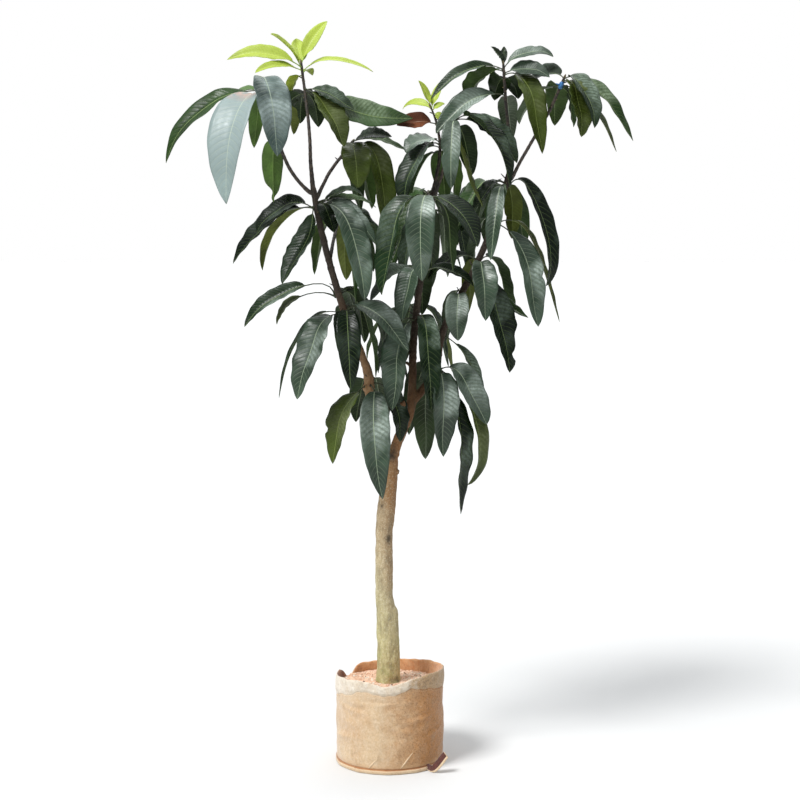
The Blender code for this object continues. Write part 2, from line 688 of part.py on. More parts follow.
def mass_stem(mass, boughs, twigs):
    """The shapes that a mass grows from: its collar, its twig, or both."""
    shapes = []
    twig = twigs[mass.name]
    if mass.seat:
        half = (TWIG_COLLAR if twig else WHORL_COLLAR) / 2
        shapes.append(boughs[mass.bough].collar_mesh(mass.seat - half, mass.seat + half))
    if twig:
        shapes.append(twig.mesh())
    return shapes


def join(body, shapes):
    """Fuses the shapes into a body by one Boolean union, which leaves one closed shell."""
    loose = bpy.data.collections.new(body.name + "_pieces")
    bpy.context.scene.collection.children.link(loose)
    for i, shape in enumerate(shapes):
        piece = make_object(f"{body.name}_{i}", *shape)
        bpy.context.scene.collection.objects.unlink(piece)
        loose.objects.link(piece)
    union = body.modifiers.new("Union", "BOOLEAN")
    union.operation = "UNION"
    union.operand_type = "COLLECTION"
    union.collection = loose
    apply_modifiers(body)
    for piece in list(loose.objects):
        bpy.data.objects.remove(piece, do_unlink=True)
    bpy.data.collections.remove(loose)
    keep_largest(body)


def apply_modifiers(obj):
    bpy.context.view_layer.update()
    graph = bpy.context.evaluated_depsgraph_get()
    mesh = bpy.data.meshes.new_from_object(obj.evaluated_get(graph))
    obj.modifiers.clear()
    obj.data = mesh


def keep_largest(obj):
    """Drops loose scraps and the walls of sealed hollows: only the largest closed shell stays."""
    mesh = bmesh.new()
    mesh.from_mesh(obj.data)
    shells = []
    left = set(mesh.faces)
    while left:
        shell = {left.pop()}
        front = shell
        while front:
            seams = {edge for face in front for edge in face.edges if len(edge.link_faces) == 2}
            front = {face for edge in seams for face in edge.link_faces} & left
            left -= front
            shell = shell | front
        shells.append(shell)
    shells.sort(key=lambda shell: -sum(face.calc_area() for face in shell))
    for shell in shells[1:]:
        bmesh.ops.delete(mesh, geom=list(shell), context="FACES")
    mesh.to_mesh(obj.data)
    mesh.free()


def cut(obj, carrier_shape):
    """Takes a grown copy of the carrier out of a limb, which then sits on it GAP clear."""
    cutter = make_object(obj.name + "_seat", *carrier_shape)
    seat = obj.modifiers.new("Seat", "BOOLEAN")
    seat.operation = "DIFFERENCE"
    seat.object = cutter
    apply_modifiers(obj)
    bpy.data.objects.remove(cutter, do_unlink=True)
    keep_largest(obj)


def turned(name, profile, finish):
    """A closed body turned from (radius, height) points, which may vary with the angle."""
    points = []
    for i in range(BAG_SIDES):
        angle = math.tau * i / BAG_SIDES
        points += [Vector((r * math.cos(angle), r * math.sin(angle), z)) for r, z in profile(angle)]
    count = len(profile(0.0))
    faces = []
    for i in range(BAG_SIDES):
        here, there = i * count, (i + 1) % BAG_SIDES * count
        for j in range(count - 1):
            faces.append((here + j, there + j, there + j + 1, here + j + 1))
    faces.append(tuple(i * count for i in reversed(range(BAG_SIDES))))
    faces.append(tuple(i * count + count - 1 for i in range(BAG_SIDES)))
    return make_object(name, points, faces, finish)


def rim_height(angle):
    """The rim sags in two places and stands higher at the right and the front."""
    height = BAG_HEIGHT + RIM_TILT * (math.cos(angle) - math.sin(angle))
    for middle, width, depth in RIM_DIPS:
        height -= depth * math.exp(-(math.remainder(angle - middle, math.tau) / width) ** 2)
    return height


def bag_radius(angle):
    return BAG_RADIUS + BAG_WAVE * math.cos(3 * angle + 1)


def bag_profile(angle):
    """The base with its sewn lip and groove, the wall, the turned-down cuff, and the inside."""
    top = rim_height(angle)
    cuff = top - CUFF_HEIGHT
    radius = bag_radius(angle)
    inside = radius - BAG_WALL
    return [
        (radius - 0.002, 0.0), (radius + BASE_LIP, 0.003), (radius + BASE_LIP, 0.011),
        (radius - 0.0015, 0.0145), (radius, 0.022), (radius, 0.130), (radius - 0.001, cuff),
        (radius + CUFF_THICKNESS, cuff - 0.002), (radius + CUFF_THICKNESS, top - 0.006),
        (radius, top), (inside, top - 0.001),
        (inside, 0.030), (inside - 0.010, BAG_WALL + 0.004), (inside - 0.014, BAG_WALL),
    ]


def soil_profile(angle):
    """The soil fills the bag GAP clear of its base and wall, lumpy on top but flat round the trunk."""
    side = bag_radius(angle) - BAG_WALL - GAP * 2
    lump = SOIL_LUMPS[0] * math.cos(3 * angle) + SOIL_LUMPS[1] * math.cos(7 * angle + 1)
    return [
        (side - 0.0145, BAG_WALL + GAP), (side - 0.0105, BAG_WALL + 0.0045), (side, 0.031),
        (side, SOIL_TOP - 0.012 + lump), (side - 0.018, SOIL_TOP - 0.003 - lump),
        (side - 0.048, SOIL_TOP + lump), (side - 0.072, SOIL_TOP + 0.001 - lump),
        (SOIL_SEAT_RADIUS, SOIL_TOP),
    ]


def build():
    clear_scene()
    bag = turned("grow_bag", bag_profile, material("bag", 0.9))
    join(bag, [Limb(SEAM_TAB, 4, 1).mesh()])
    turned("soil", soil_profile, material("soil", 0.95))
    trunk = Limb(TRUNK_KNOTS, TRUNK_SIDES, LIMB_STEPS, UP, trunk_shape)
    boughs = {
        "left_bough": Limb(LEFT_KNOTS, LIMB_SIDES),
        "middle_bough": Limb(MIDDLE_KNOTS, LIMB_SIDES),
        "right_bough": Limb(RIGHT_KNOTS, LIMB_SIDES),
    }
    make_object("trunk", *trunk.mesh(), material("bark", 0.8))
    bark = material("bough", 0.75)
    solids = {name: make_object(name, *limb.mesh(), bark) for name, limb in boughs.items()}
    for solid in solids.values():
        cut(solid, trunk.mesh(GAP))
    cut(solids["right_bough"], boughs["middle_bough"].mesh(GAP))
    cut(solids["left_bough"], boughs["middle_bough"].mesh(GAP))

    twigs, leaves = plan_foliage(trunk, boughs)
    for mass in MASSES:
        stem, *rest = mass_stem(mass, boughs, twigs)
        body = make_object(mass.name, *stem, material("leaf", 0.5))
        join(body, rest + [leaf_mesh(root, leaf) for root, leaf in leaves[mass.name]])


build()
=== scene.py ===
"""A young mango tree in a felt grow bag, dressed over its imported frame. Metres, +Z up.

The leaves grow on the twigs by the rule of the part's source, each with its own finish: petiole, blade,
pale midrib and wavy margins. The bark is one skin over the trunk and its three boughs.
"""

import math
import random
from collections import namedtuple

import bmesh
import bpy
import numpy as np
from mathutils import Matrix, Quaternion, Vector, noise
from mathutils.bvhtree import BVHTree


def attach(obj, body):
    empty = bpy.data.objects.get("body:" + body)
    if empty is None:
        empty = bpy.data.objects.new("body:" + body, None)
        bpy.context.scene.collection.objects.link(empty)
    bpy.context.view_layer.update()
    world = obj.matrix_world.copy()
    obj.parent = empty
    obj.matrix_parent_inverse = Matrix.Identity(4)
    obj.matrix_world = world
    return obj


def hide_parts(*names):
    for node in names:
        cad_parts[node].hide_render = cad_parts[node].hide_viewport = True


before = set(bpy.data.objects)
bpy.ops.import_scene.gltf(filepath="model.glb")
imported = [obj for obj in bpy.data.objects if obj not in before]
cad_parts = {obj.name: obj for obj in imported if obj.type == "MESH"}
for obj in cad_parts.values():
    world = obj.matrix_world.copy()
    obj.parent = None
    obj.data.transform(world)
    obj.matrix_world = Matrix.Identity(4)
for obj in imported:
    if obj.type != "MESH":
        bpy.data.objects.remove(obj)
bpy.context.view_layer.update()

UP = Vector((0, 0, 1))
GAP = 0.0003                  # clearance between one solid and what carries it

# Grow bag and soil
BAG_HEIGHT = 0.258            # mean height of the rim
RIM_TILT = 0.010              # how much higher the rim stands to the right and to the front
RIM_DIPS = ((-1.57, 0.40, 0.019), (2.49, 0.18, 0.030))      # (angle, half width, depth) of its sags
BAG_RADIUS = 0.1490
BAG_WAVE = 0.0015             # how far the bag is out of round
BAG_WALL = 0.004
BASE_LIP = 0.003              # how far the sewn lip round the base stands out
CUFF_THICKNESS = 0.0025
SEAM_TAB = (                  # loose end of the base seam: knots (x, y, z, radius)
    (0.1030, -0.1012, 0.0110, 0.0080), (0.1230, -0.1250, 0.0115, 0.0120), (0.1550, -0.1330, 0.0530, 0.0120),
)
SOIL_TOP = 0.221

# Trunk: knots (x, y, z, radius) from the soil to the fork
TRUNK_KNOTS = (
    (-0.003, 0.000, SOIL_TOP + GAP, 0.0350), (-0.003, 0.000, 0.250, 0.0322), (-0.004, 0.002, 0.330, 0.0312),
    (-0.007, 0.003, 0.405, 0.0300), (-0.013, 0.004, 0.450, 0.0250), (-0.0145, 0.004, 0.560, 0.0238),
    (-0.0145, 0.002, 0.640, 0.0238), (-0.008, 0.000, 0.710, 0.0248), (0.000, 0.000, 0.790, 0.0225),
    (0.002, 0.000, 0.872, 0.0235),
)
ROOT_LOBES = 5
LOBE_TURN = 0.6               # where the first root lobe stands, as an angle
ROOT_FLARE = 0.10             # share of the radius that the root lobes stand out at the soil
ROOT_FLARE_HEIGHT = 0.045
TRUNK_SIDES = 14

# Boughs: knots (x, y, z, radius) from inside what carries them to their tips
BOUGH_KNOTS = {
    "left_bough": (
        (-0.002, 0.000, 0.855, 0.0135), (-0.026, -0.004, 0.930, 0.0135), (-0.052, -0.010, 1.020, 0.0125),
        (-0.056, -0.015, 1.078, 0.0140), (-0.072, -0.020, 1.132, 0.0108), (-0.120, -0.040, 1.256, 0.0100),
        (-0.146, -0.052, 1.340, 0.0094), (-0.170, -0.062, 1.430, 0.0088), (-0.190, -0.078, 1.520, 0.0084),
        (-0.202, -0.088, 1.592, 0.0082),
    ),
    "middle_bough": (
        (0.006, 0.000, 0.855, 0.0150), (0.036, 0.002, 0.930, 0.0150), (0.058, 0.010, 0.990, 0.0140),
        (0.064, 0.016, 1.045, 0.0118), (0.065, 0.020, 1.140, 0.0104), (0.074, 0.024, 1.247, 0.0098),
        (0.087, 0.026, 1.357, 0.0092), (0.101, 0.028, 1.452, 0.0086), (0.120, 0.030, 1.583, 0.0078),
    ),
    "right_bough": (
        (0.062, 0.014, 1.005, 0.0110), (0.096, 0.022, 1.045, 0.0120), (0.128, 0.032, 1.090, 0.0112),
        (0.137, 0.040, 1.150, 0.0102), (0.152, 0.050, 1.210, 0.0098), (0.190, 0.060, 1.286, 0.0094),
        (0.240, 0.062, 1.383, 0.0088), (0.292, 0.058, 1.507, 0.0082), (0.328, 0.050, 1.633, 0.0080),
    ),
}
LIMB_SIDES = 10
TWIG_SIDES = 6
LIMB_STEPS = 2                # rings to each span between knots

# Foliage
COLLAR_WALL = 0.0042
WHORL_COLLAR = 0.022          # length of a collar that carries a whorl
TWIG_COLLAR = 0.012           # length of a collar that carries a twig
COLLAR_USED = 0.6             # share of a collar's length that petioles start from
FIRST_ROOT = 0.003            # distance of the first petiole from its twig's tip
ROOT_STEP = 0.0045            # distance between one petiole and the next along a twig
PETIOLE_RADIUS = 0.0019
TIP_RADIUS = 0.0008
LEAF_THICKNESS = 0.013        # of the leaf's length, at the midrib
LEAF_FOLD = 0.10              # height of the margins over the midrib, of the leaf's width
LEAF_ARM = 0.36               # reach of the curve's handles, of the distance from root to tip
TURN_DONE = 0.35              # share of the curve by which a leaf has made its turn
CLEAR = 0.0016                # least distance kept between a blade and anything else
GOLDEN_ANGLE = 137.5

# Blade outline: (share of the blade's length, share of its greatest width)
BLADE_OUTLINE = ((0.0, 0.07), (0.12, 0.60), (0.34, 0.96), (0.60, 0.94), (0.84, 0.52), (1.0, 0.03))

# A leaf: how far its tip lies to the right (+X), to the back (+Y) and down from its root, its greatest
# width, the slope of its curve at the root and at the tip in degrees, its turn about its midrib, and
# the share of its curve that is petiole.
Leaf = namedtuple("Leaf", "right back down width rise hang turn stalk", defaults=(0, 0.13))

# A whorl: where its leaves start, counted in metres back from the twig's tip, the measures of its
# leaves, and its filling leaves as (how many, middle heading, spread of headings, longest way down).
Whorl = namedtuple("Whorl", "before leaves fill", defaults=((0, 0, 0, 0),))

# A mass: its bough, the height of its collar (None: it grows on from the bough's tip), the knots of
# its twig, and its whorls.
Mass = namedtuple("Mass", "name bough seat twig whorls")

MASSES = (
    Mass("top_flush", "left_bough", None, (
        (-0.208, -0.084, 1.65, 0.005), (-0.213, -0.06, 1.745, 0.0042), (-0.226, -0.03, 1.851, 0.0038),
        (-0.236, -0.02, 1.926, 0.0034),
    ), (
        Whorl(0, (
            (0.07, 0.01, -0.114, 0.042, 70, 44, 60), (-0.016, 0.03, -0.078, 0.044, 84, 70),
            (-0.2, 0, -0.02, 0.05, 36, -26, -50), (-0.078, -0.02, -0.085, 0.034, 62, 20, -40),
            (-0.122, -0.05, 0.01, 0.034, 24, -28, -35), (0.19, 0.01, -0.002, 0.028, 54, -30, 30),
            (0.022, 0.09, -0.004, 0.032, 35, -30), (-0.038, 0.02, 0.052, 0.05, 10, -74),
        )),
        Whorl(0.066, (
            (0.108, -0.06, 0.158, 0.076, -20, -62, 24), (0.132, -0.02, 0.052, 0.052, 14, -32, 44),
            (0.29, 0.02, 0.07, 0.086, -26, 0, 56, 0.22),
        ), (3, 95, 110, 0.1)),
    )),
    Mass("left_shoot", "left_bough", 1.582, (
        (-0.25, -0.11, 1.622, 0.0046), (-0.286, -0.15, 1.7, 0.0042), (-0.333, -0.192, 1.862, 0.0034),
    ), (
        Whorl(0, (
            (0.05, -0.1, 0.192, 0.096, 50, -88),
        )),
        Whorl(0.02, (
            (-0.254, 0.01, 0.186, 0.066, 2, -70, -44), (-0.118, 0.02, 0.04, 0.036, 26, -55, -30),
            (-0.046, -0.15, 0.286, 0.122, 10, -88), (-0.032, 0.06, 0.132, 0.046, 30, -85),
        ), (4, 90, 150, 0.11)),
        Whorl(0.15, (
            (-0.014, 0.05, 0.166, 0.058, 10, -80),
        )),
    )),
    Mass("inner_shoot", "left_bough", 1.566, (
        (-0.16, -0.03, 1.635, 0.0044), (-0.122, 0.03, 1.69, 0.004), (-0.1, 0.06, 1.722, 0.0036),
    ), (
        Whorl(0, (
            (0.155, 0, 0.025, 0.034, 25, -22, 30), (0.02, -0.085, 0.125, 0.082, 5, -86),
            (0.1, -0.03, 0.285, 0.074, 20, -88, 34), (0.115, -0.05, -0.02, 0.05, 45, -12, 40),
            (0.06, 0.09, 0.17, 0.062, 25, -80),
        ), (3, 60, 80, 0.2)),
    )),
    Mass("left_whorl", "left_bough", 1.546, (), (
        Whorl(0, (
            (-0.15, 0.01, 0.066, 0.062, 42, -66, -42), (-0.222, -0.02, 0.15, 0.064, 6, -50, -44),
            (-0.16, 0.03, 0.172, 0.05, 6, -78, -6), (-0.08, -0.07, 0.202, 0.086, -84, -56, 0, 0.07),
            (0.042, -0.05, 0.07, 0.052, 40, -75, 20), (0.148, -0.03, 0.108, 0.056, 28, -62, 40),
            (0.115, 0.02, -0.022, 0.036, 50, -50, 25), (0.135, -0.07, 0.25, 0.072, 15, -74, 25),
            (0.095, 0.03, 0.27, 0.056, 15, -82, 30), (0.15, 0.04, 0.01, 0.036, 22, -32, 30),
            (0.095, -0.06, 0.17, 0.064, 30, -80, 20), (0.13, 0.05, 0.22, 0.062, 25, -78, 30),
        ), (2, 45, 50, 0.2)),
    )),
    Mass("left_middle_whorl", "left_bough", 1.307, (), (
        Whorl(0, (
            (-0.246, 0, 0.08, 0.05, 84, -54, -46, 0.42), (-0.16, 0.03, 0.078, 0.05, 30, -84, -30, 0.48),
            (0.06, 0.07, 0.14, 0.06, 30, -80), (0.11, -0.03, -0.01, 0.07, 50, -60, 30),
        ), (2, 50, 50, 0.18)),
    )),
    Mass("left_lower_whorl", "left_bough", 1.262, (), (
        Whorl(0, (
            (-0.116, -0.09, 0.222, 0.092, 10, -80, -15), (-0.172, 0.04, 0.235, 0.036, 20, -80, -20),
            (-0.005, -0.06, 0.075, 0.046, 35, -75), (0.018, -0.07, 0.205, 0.066, 25, -85),
            (0.165, -0.1, 0.105, 0.084, 42, -48, 20), (0.075, 0.06, 0.19, 0.06, 25, -82),
        ), (2, 80, 60, 0.2)),
    )),
    Mass("fork_whorl", "left_bough", 1.062, (), (
        Whorl(0, (
            (-0.086, -0.09, 0.202, 0.082, -20, -80), (0.034, -0.12, 0.296, 0.084, -8, -86),
            (0.07, -0.02, 0.16, 0.066, 0, -84, 30), (-0.034, 0.1, 0.125, 0.06, 25, -80),
        ), (1, 60, 40, 0.18)),
    )),
    Mass("middle_shoot", "middle_bough", None, (
        (0.134, 0.024, 1.65, 0.0046), (0.138, 0.01, 1.715, 0.004), (0.126, 0.006, 1.776, 0.0028),
        (0.112, 0.004, 1.812, 0.0022),
    ), (
        Whorl(0, (
            (-0.034, 0, -0.072, 0.022, 75, 40, 50), (0.026, 0.02, -0.076, 0.024, 80, 70, 30),
            (0.034, 0, -0.018, 0.02, 50, -10, 50), (-0.082, 0.01, -0.012, 0.024, 62, -50, -50),
            (0.024, -0.01, 0.024, 0.022, 10, -60, 50),
        )),
        Whorl(0.046, (
            (-0.108, 0, 0.004, 0.05, 12, -18, -62),
        )),
        Whorl(0.098, (
            (-0.092, -0.06, 0.03, 0.07, 40, -62, -20), (-0.098, -0.09, 0.165, 0.078, 20, -84),
            (0.044, 0.03, 0.15, 0.05, 30, -86), (-0.1, 0.04, 0.08, 0.058, 30, -70, -30),
        ), (4, 90, 150, 0.19)),
    )),
    Mass("side_shoot", "middle_bough", 1.56, (
        (0.14, -0.01, 1.62, 0.0044), (0.162, -0.03, 1.7, 0.004), (0.18, -0.035, 1.778, 0.0034),
    ), (
        Whorl(0, (
            (0.165, 0, 0.116, 0.068, 8, -66, 50), (0.148, -0.03, 0.176, 0.08, 46, -86),
            (-0.012, -0.06, 0.178, 0.054, 25, -88), (0.078, 0.02, 0.22, 0.056, -78, -60, 20),
        ), (3, 100, 110, 0.17)),
    )),
    Mass("front_shoot", "middle_bough", 1.48, (
        (0.104, -0.06, 1.53, 0.0044), (0.098, -0.24, 1.566, 0.004),
    ), (
        Whorl(0, (
            (-0.012, -0.08, 0.214, 0.076, 25, -88), (-0.108, -0.06, 0.25, 0.088, 15, -82, -15),
            (-0.08, 0.05, 0.06, 0.054, 40, -60, -30), (0.13, -0.06, 0.125, 0.084, 20, -64, 20),
            (0.07, 0.04, 0.19, 0.064, 20, -80),
        )),
    )),
    Mass("back_shoot", "middle_bough", 1.44, ((0.11, 0.15, 1.5, 0.0046), (0.112, 0.34, 1.59, 0.0038)), (
        Whorl(0, (), (9, 90, 360, 0.25)),
        Whorl(0.15, (), (4, 90, 300, 0.22)),
    )),
    Mass("middle_whorl", "middle_bough", 1.37, (), (
        Whorl(0, (
            (-0.046, -0.07, 0.13, 0.07, 45, -86), (0.13, 0.02, 0.04, 0.052, 36, -50, 30),
            (-0.13, -0.02, 0.088, 0.092, 14, -46, -24),
        ), (2, 90, 60, 0.14)),
    )),
    Mass("middle_lower_whorl", "middle_bough", 1.235, (), (
        Whorl(0, (
            (0.036, -0.07, 0.24, 0.068, 50, -88), (-0.08, -0.07, 0.24, 0.084, 0, -76),
            (-0.012, 0.05, 0.18, 0.05, 20, -84),
        ), (2, 90, 60, 0.2)),
    )),
    Mass("lower_back_shoot", "middle_bough", 1.14, (
        (0.066, 0.1, 1.19, 0.0044), (0.072, 0.24, 1.262, 0.0036),
    ), (
        Whorl(0, (), (7, 90, 300, 0.2)),
    )),
    Mass("high_shoot", "right_bough", None, (
        (0.328, 0.04, 1.725, 0.0048), (0.318, 0.02, 1.813, 0.0042), (0.308, 0, 1.924, 0.0034),
    ), (
        Whorl(0, (
            (-0.034, 0, -0.05, 0.026, 70, 30, -40), (0.004, 0.02, -0.06, 0.02, 85, 78),
            (0.134, 0, -0.032, 0.036, 62, -42, 50),
        )),
        Whorl(0.012, (
            (-0.198, 0, 0.08, 0.04, 30, -52, -40), (-0.096, 0.08, 0.074, 0.084, 28, -66),
            (0.122, -0.02, 0.012, 0.05, 26, -36, 55), (0.102, -0.04, 0.212, 0.074, 24, -80, 36),
        ), (3, 90, 100, 0.06)),
        Whorl(0.08, (
            (-0.195, -0.03, 0.105, 0.062, 14, -56, -45),
        ), (1, 100, 60, 0.15)),
    )),
    Mass("outer_shoot", "right_bough", 1.622, (
        (0.372, 0.034, 1.69, 0.0044), (0.432, 0.01, 1.796, 0.004), (0.472, -0.01, 1.888, 0.0036),
    ), (
        Whorl(0, (
            (-0.096, 0.05, 0.03, 0.066, 56, -84, -40), (0.08, -0.05, 0.13, 0.07, 44, -88, 20),
            (0.034, -0.09, 0.15, 0.074, 20, -86), (0.2, 0, 0.152, 0.06, 22, -60, 42),
            (0.158, 0.05, 0.176, 0.054, -4, -60, 34),
        ), (3, 90, 120, 0.1)),
    )),
    Mass("right_whorl", "right_bough", 1.602, (), (
        Whorl(0, (
            (-0.025, -0.05, 0.105, 0.05, 38, -86), (-0.076, -0.03, 0.066, 0.052, 38, -60, -30),
            (0.02, 0.06, 0.145, 0.054, 25, -84), (0.103, 0, 0.274, 0.064, 62, -118, 42),
            (-0.058, -0.05, 0.205, 0.048, 0, -86),
        ), (2, 120, 60, 0.16)),
    )),
    Mass("right_upper_whorl", "right_bough", 1.505, (), (
        Whorl(0, (
            (0.11, -0.06, 0.28, 0.074, -20, -76, 30), (0.175, 0.03, 0.275, 0.04, 25, -68, 20),
        ), (2, 100, 60, 0.2)),
    )),
    Mass("right_back_shoot", "right_bough", 1.455, (
        (0.284, 0.14, 1.53, 0.0044), (0.3, 0.3, 1.61, 0.0036),
    ), (
        Whorl(0, (), (8, 140, 220, 0.18)),
    )),
    Mass("right_middle_whorl", "right_bough", 1.395, (), (
        Whorl(0, (
            (0.018, -0.07, 0.155, 0.072, 30, -88), (0.132, 0, 0.15, 0.05, -80, -20, 36, 0.3),
            (0.078, -0.06, 0.3, 0.084, -62, -84, 20), (-0.132, -0.01, 0.06, 0.052, 32, -55, -36),
        ), (2, 90, 90, 0.19)),
    )),
    Mass("right_inner_whorl", "right_bough", 1.3, (), (
        Whorl(0, (
            (-0.006, -0.05, 0.12, 0.066, 45, -90),
        ), (1, 80, 40, 0.14)),
    )),
    Mass("right_lower_whorl", "right_bough", 1.192, (), (
        Whorl(0, (
            (0.112, 0, 0.212, 0.046, -30, -74, 36),
        ), (1, 120, 30, 0.12)),
    )),
    Mass("right_base_whorl", "right_bough", 1.095, (), (
        Whorl(0, (
            (0.016, -0.09, 0.23, 0.078, 14, -88), (-0.022, 0.06, 0.256, 0.074, -8, -86),
            (0.052, -0.04, 0.4, 0.084, -55, -90, 20), (0.076, 0.02, 0.325, 0.068, -30, -132, 46),
            (0.126, -0.05, 0.148, 0.08, 30, -62, 34),
        ), (1, 100, 40, 0.22)),
    )),
    Mass("left_back_shoot", "left_bough", 1.4, (
        (-0.15, 0.06, 1.47, 0.0044), (-0.14, 0.24, 1.54, 0.0036),
    ), (
        Whorl(0, (
            (0.06, -0.03, 0.19, 0.066, 25, -86), (0.124, 0.02, 0.18, 0.072, 25, -80, 30),
        ), (5, 70, 150, 0.2)),
    )),
)

# Filling leaves: range of each measure
FILL_REACH = (0.090, 0.175)
FILL_DROP = (0.70, 1.0)      # of the longest way down
FILL_WIDTH = (0.050, 0.072)
FILL_RISE = (15, 45)
FILL_HANG = (-88, -65)
FILL_TURN = (-30, 30)
SEED = 7
# What is tried in turn to keep a leaf off its neighbours: (swing in degrees, tip moved back in metres)
TRIES = (
    (0, 0), (8, 0), (-8, 0), (0, -0.025), (0, 0.025), (8, 0.025), (-8, -0.025), (16, 0), (-16, 0),
    (0, -0.05), (0, 0.05), (-16, 0.03), (16, -0.03), (26, 0), (-26, 0),
)


# ---- Growth, by the rule of the source ----


def between(low, high, share):
    return low + (high - low) * share


def smooth_curve(knots, steps):
    """Points (x, y, z, radius) on a Catmull-Rom curve through the knots, steps to each span."""
    knots = [Vector(knot) for knot in knots]
    ends = [knots[0] * 2 - knots[1], *knots, knots[-1] * 2 - knots[-2]]
    points = []
    for before, start, end, after in zip(ends, ends[1:], ends[2:], ends[3:]):
        for step in range(steps):
            t = step / steps
            points.append(0.5 * (
                2 * start + (end - before) * t + (2 * before - 5 * start + 4 * end - after) * t * t
                + (3 * start - before - 3 * end + after) * t ** 3
            ))
    return points + [knots[-1]]


class Limb:
    """A tapering limb: rings of points on a smooth curve, turned as little as possible between them."""

    def __init__(self, knots, sides, start=None, shape=None):
        points = smooth_curve(knots, LIMB_STEPS)
        self.centres = [point.to_3d() for point in points]
        self.radii = [point[3] for point in points]
        self.sides = sides
        self.directions = self.find_directions(start)
        self.shape = shape or (lambda centre, angle: 1.0)
        self.rings = self.find_rings()

    def find_directions(self, start):
        ahead = [b - a for a, b in zip(self.centres, self.centres[1:])]
        middle = [(a.normalized() + b.normalized()).normalized() for a, b in zip(ahead, ahead[1:])]
        return [(start or ahead[0]).normalized(), *middle, ahead[-1].normalized()]

    def find_rings(self):
        side = self.directions[0].cross(Vector((0, 1, 0))).normalized()
        before = self.directions[0]
        angles = [math.tau * i / self.sides for i in range(self.sides)]
        rings = []
        for centre, radius, direction in zip(self.centres, self.radii, self.directions):
            side = before.rotation_difference(direction) @ side
            before = direction
            rings.append([
                centre + (Quaternion(direction, angle) @ side) * radius * self.shape(centre, angle)
                for angle in angles
            ])
        return rings

    def mesh(self):
        """Points and faces of the limb."""
        return [point for ring in self.rings for point in ring], tube_faces(len(self.rings), self.sides)

    def station(self, height):
        """Fractional ring number at which the limb's centre line is at a height."""
        for i, (low, high) in enumerate(zip(self.centres, self.centres[1:])):
            if low.z <= height <= high.z:
                return i + (height - low.z) / (high.z - low.z)
        raise ValueError("height is off the limb")

    def from_tip(self, back):
        """Fractional ring number at a distance back from the tip."""
        for i in range(len(self.centres) - 2, -1, -1):
            span = (self.centres[i + 1] - self.centres[i]).length
            if back <= span:
                return i + 1 - back / span
            back -= span
        return 0.0

    def at(self, station):
        """Centre, radius and direction at a fractional ring number."""
        i = min(int(station), len(self.centres) - 2)
        share = station - i
        centre = self.centres[i].lerp(self.centres[i + 1], share)
        radius = between(self.radii[i], self.radii[i + 1], share)
        return centre, radius, (self.centres[i + 1] - self.centres[i]).normalized()

    def ring(self, station, grow):
        """The limb's outline at a fractional ring number, larger all round by grow."""
        i = min(int(station), len(self.centres) - 2)
        centre = self.at(station)[0]
        outline = [a.lerp(b, station - i) for a, b in zip(self.rings[i], self.rings[i + 1])]
        return [p + (p - centre).normalized() * grow for p in outline]

    def collar_mesh(self, low, high):
        """A sleeve round the limb between two heights, clear of it by GAP."""
        first, last = self.station(low), self.station(high)
        stations = [first, *range(math.ceil(first + 0.05), math.floor(last - 0.05) + 1), last]
        rings = [self.ring(station, GAP + COLLAR_WALL) for station in stations]
        rings += [self.ring(station, GAP) for station in reversed(stations)]
        faces = []
        for i in range(len(rings)):
            faces += band_faces(i, (i + 1) % len(rings), self.sides)
        return [point for ring in rings for point in ring], faces


def band_faces(low, high, sides):
    """Quads between two rings, given by their numbers."""
    faces = []
    for j in range(sides):
        k = (j + 1) % sides
        faces.append((low * sides + j, low * sides + k, high * sides + k, high * sides + j))
    return faces


def tube_faces(rings, sides):
    faces = [tuple(reversed(range(sides))), tuple(range((rings - 1) * sides, rings * sides))]
    for i in range(rings - 1):
        faces += band_faces(i, i + 1, sides)
    return faces


def leaf_curve(root, leaf):
    """The handles of a leaf's curve, its length from root to tip, and its sideways direction."""
    out = Vector((leaf.right, leaf.back, 0)).normalized()
    tip = root + Vector((leaf.right, leaf.back, -leaf.down))
    span = (tip - root).length

    def slope(degrees):
        angle = math.radians(degrees)
        return (out * math.cos(angle) + UP * math.sin(angle)) * span * LEAF_ARM

    handles = (root, root + slope(leaf.rise), tip - slope(leaf.hang), tip)
    return handles, span, Vector((-out.y, out.x, 0))


def leaf_axes(leaf, handles, across, t):
    """Centre, direction, side and face of a leaf at a share of its curve."""
    a, b, c, d = handles
    centre = a * (1 - t) ** 3 + b * 3 * t * (1 - t) ** 2 + c * 3 * t * t * (1 - t) + d * t ** 3
    along = ((b - a) * (1 - t) ** 2 + (c - b) * 2 * t * (1 - t) + (d - c) * t * t).normalized()
    side = Quaternion(along, math.radians(leaf.turn) * min(1.0, t / TURN_DONE)) @ across
    return centre, along, side, along.cross(side)


def leaf_tree(root, leaf, extra=0.0, blade_only=False):
    """A plain leaf to test for touches: petiole and blade on one curve, four points to a ring.

    extra fattens it all round, and blade_only leaves off the petiole.
    """
    handles, span, across = leaf_curve(root, leaf)
    half_depth = max(LEAF_THICKNESS * span / 2, PETIOLE_RADIUS)
    stations = [] if blade_only else [(0.0, 0.0)]
    stations += [(between(leaf.stalk, 1, along), width) for along, width in BLADE_OUTLINE]
    points = []
    for t, width in stations:
        centre, _, side, face = leaf_axes(leaf, handles, across, t)
        least = PETIOLE_RADIUS if t < 1 else TIP_RADIUS
        half = max(leaf.width * width / 2, least) + extra
        depth = (half_depth if width > BLADE_OUTLINE[0][1] and t < 1 else least) + extra
        lift = face * leaf.width * width * LEAF_FOLD
        points += [centre + side * half + lift, centre + face * depth,
                   centre - side * half + lift, centre - face * depth]
    return BVHTree.FromPolygons(points, tube_faces(len(stations), 4))


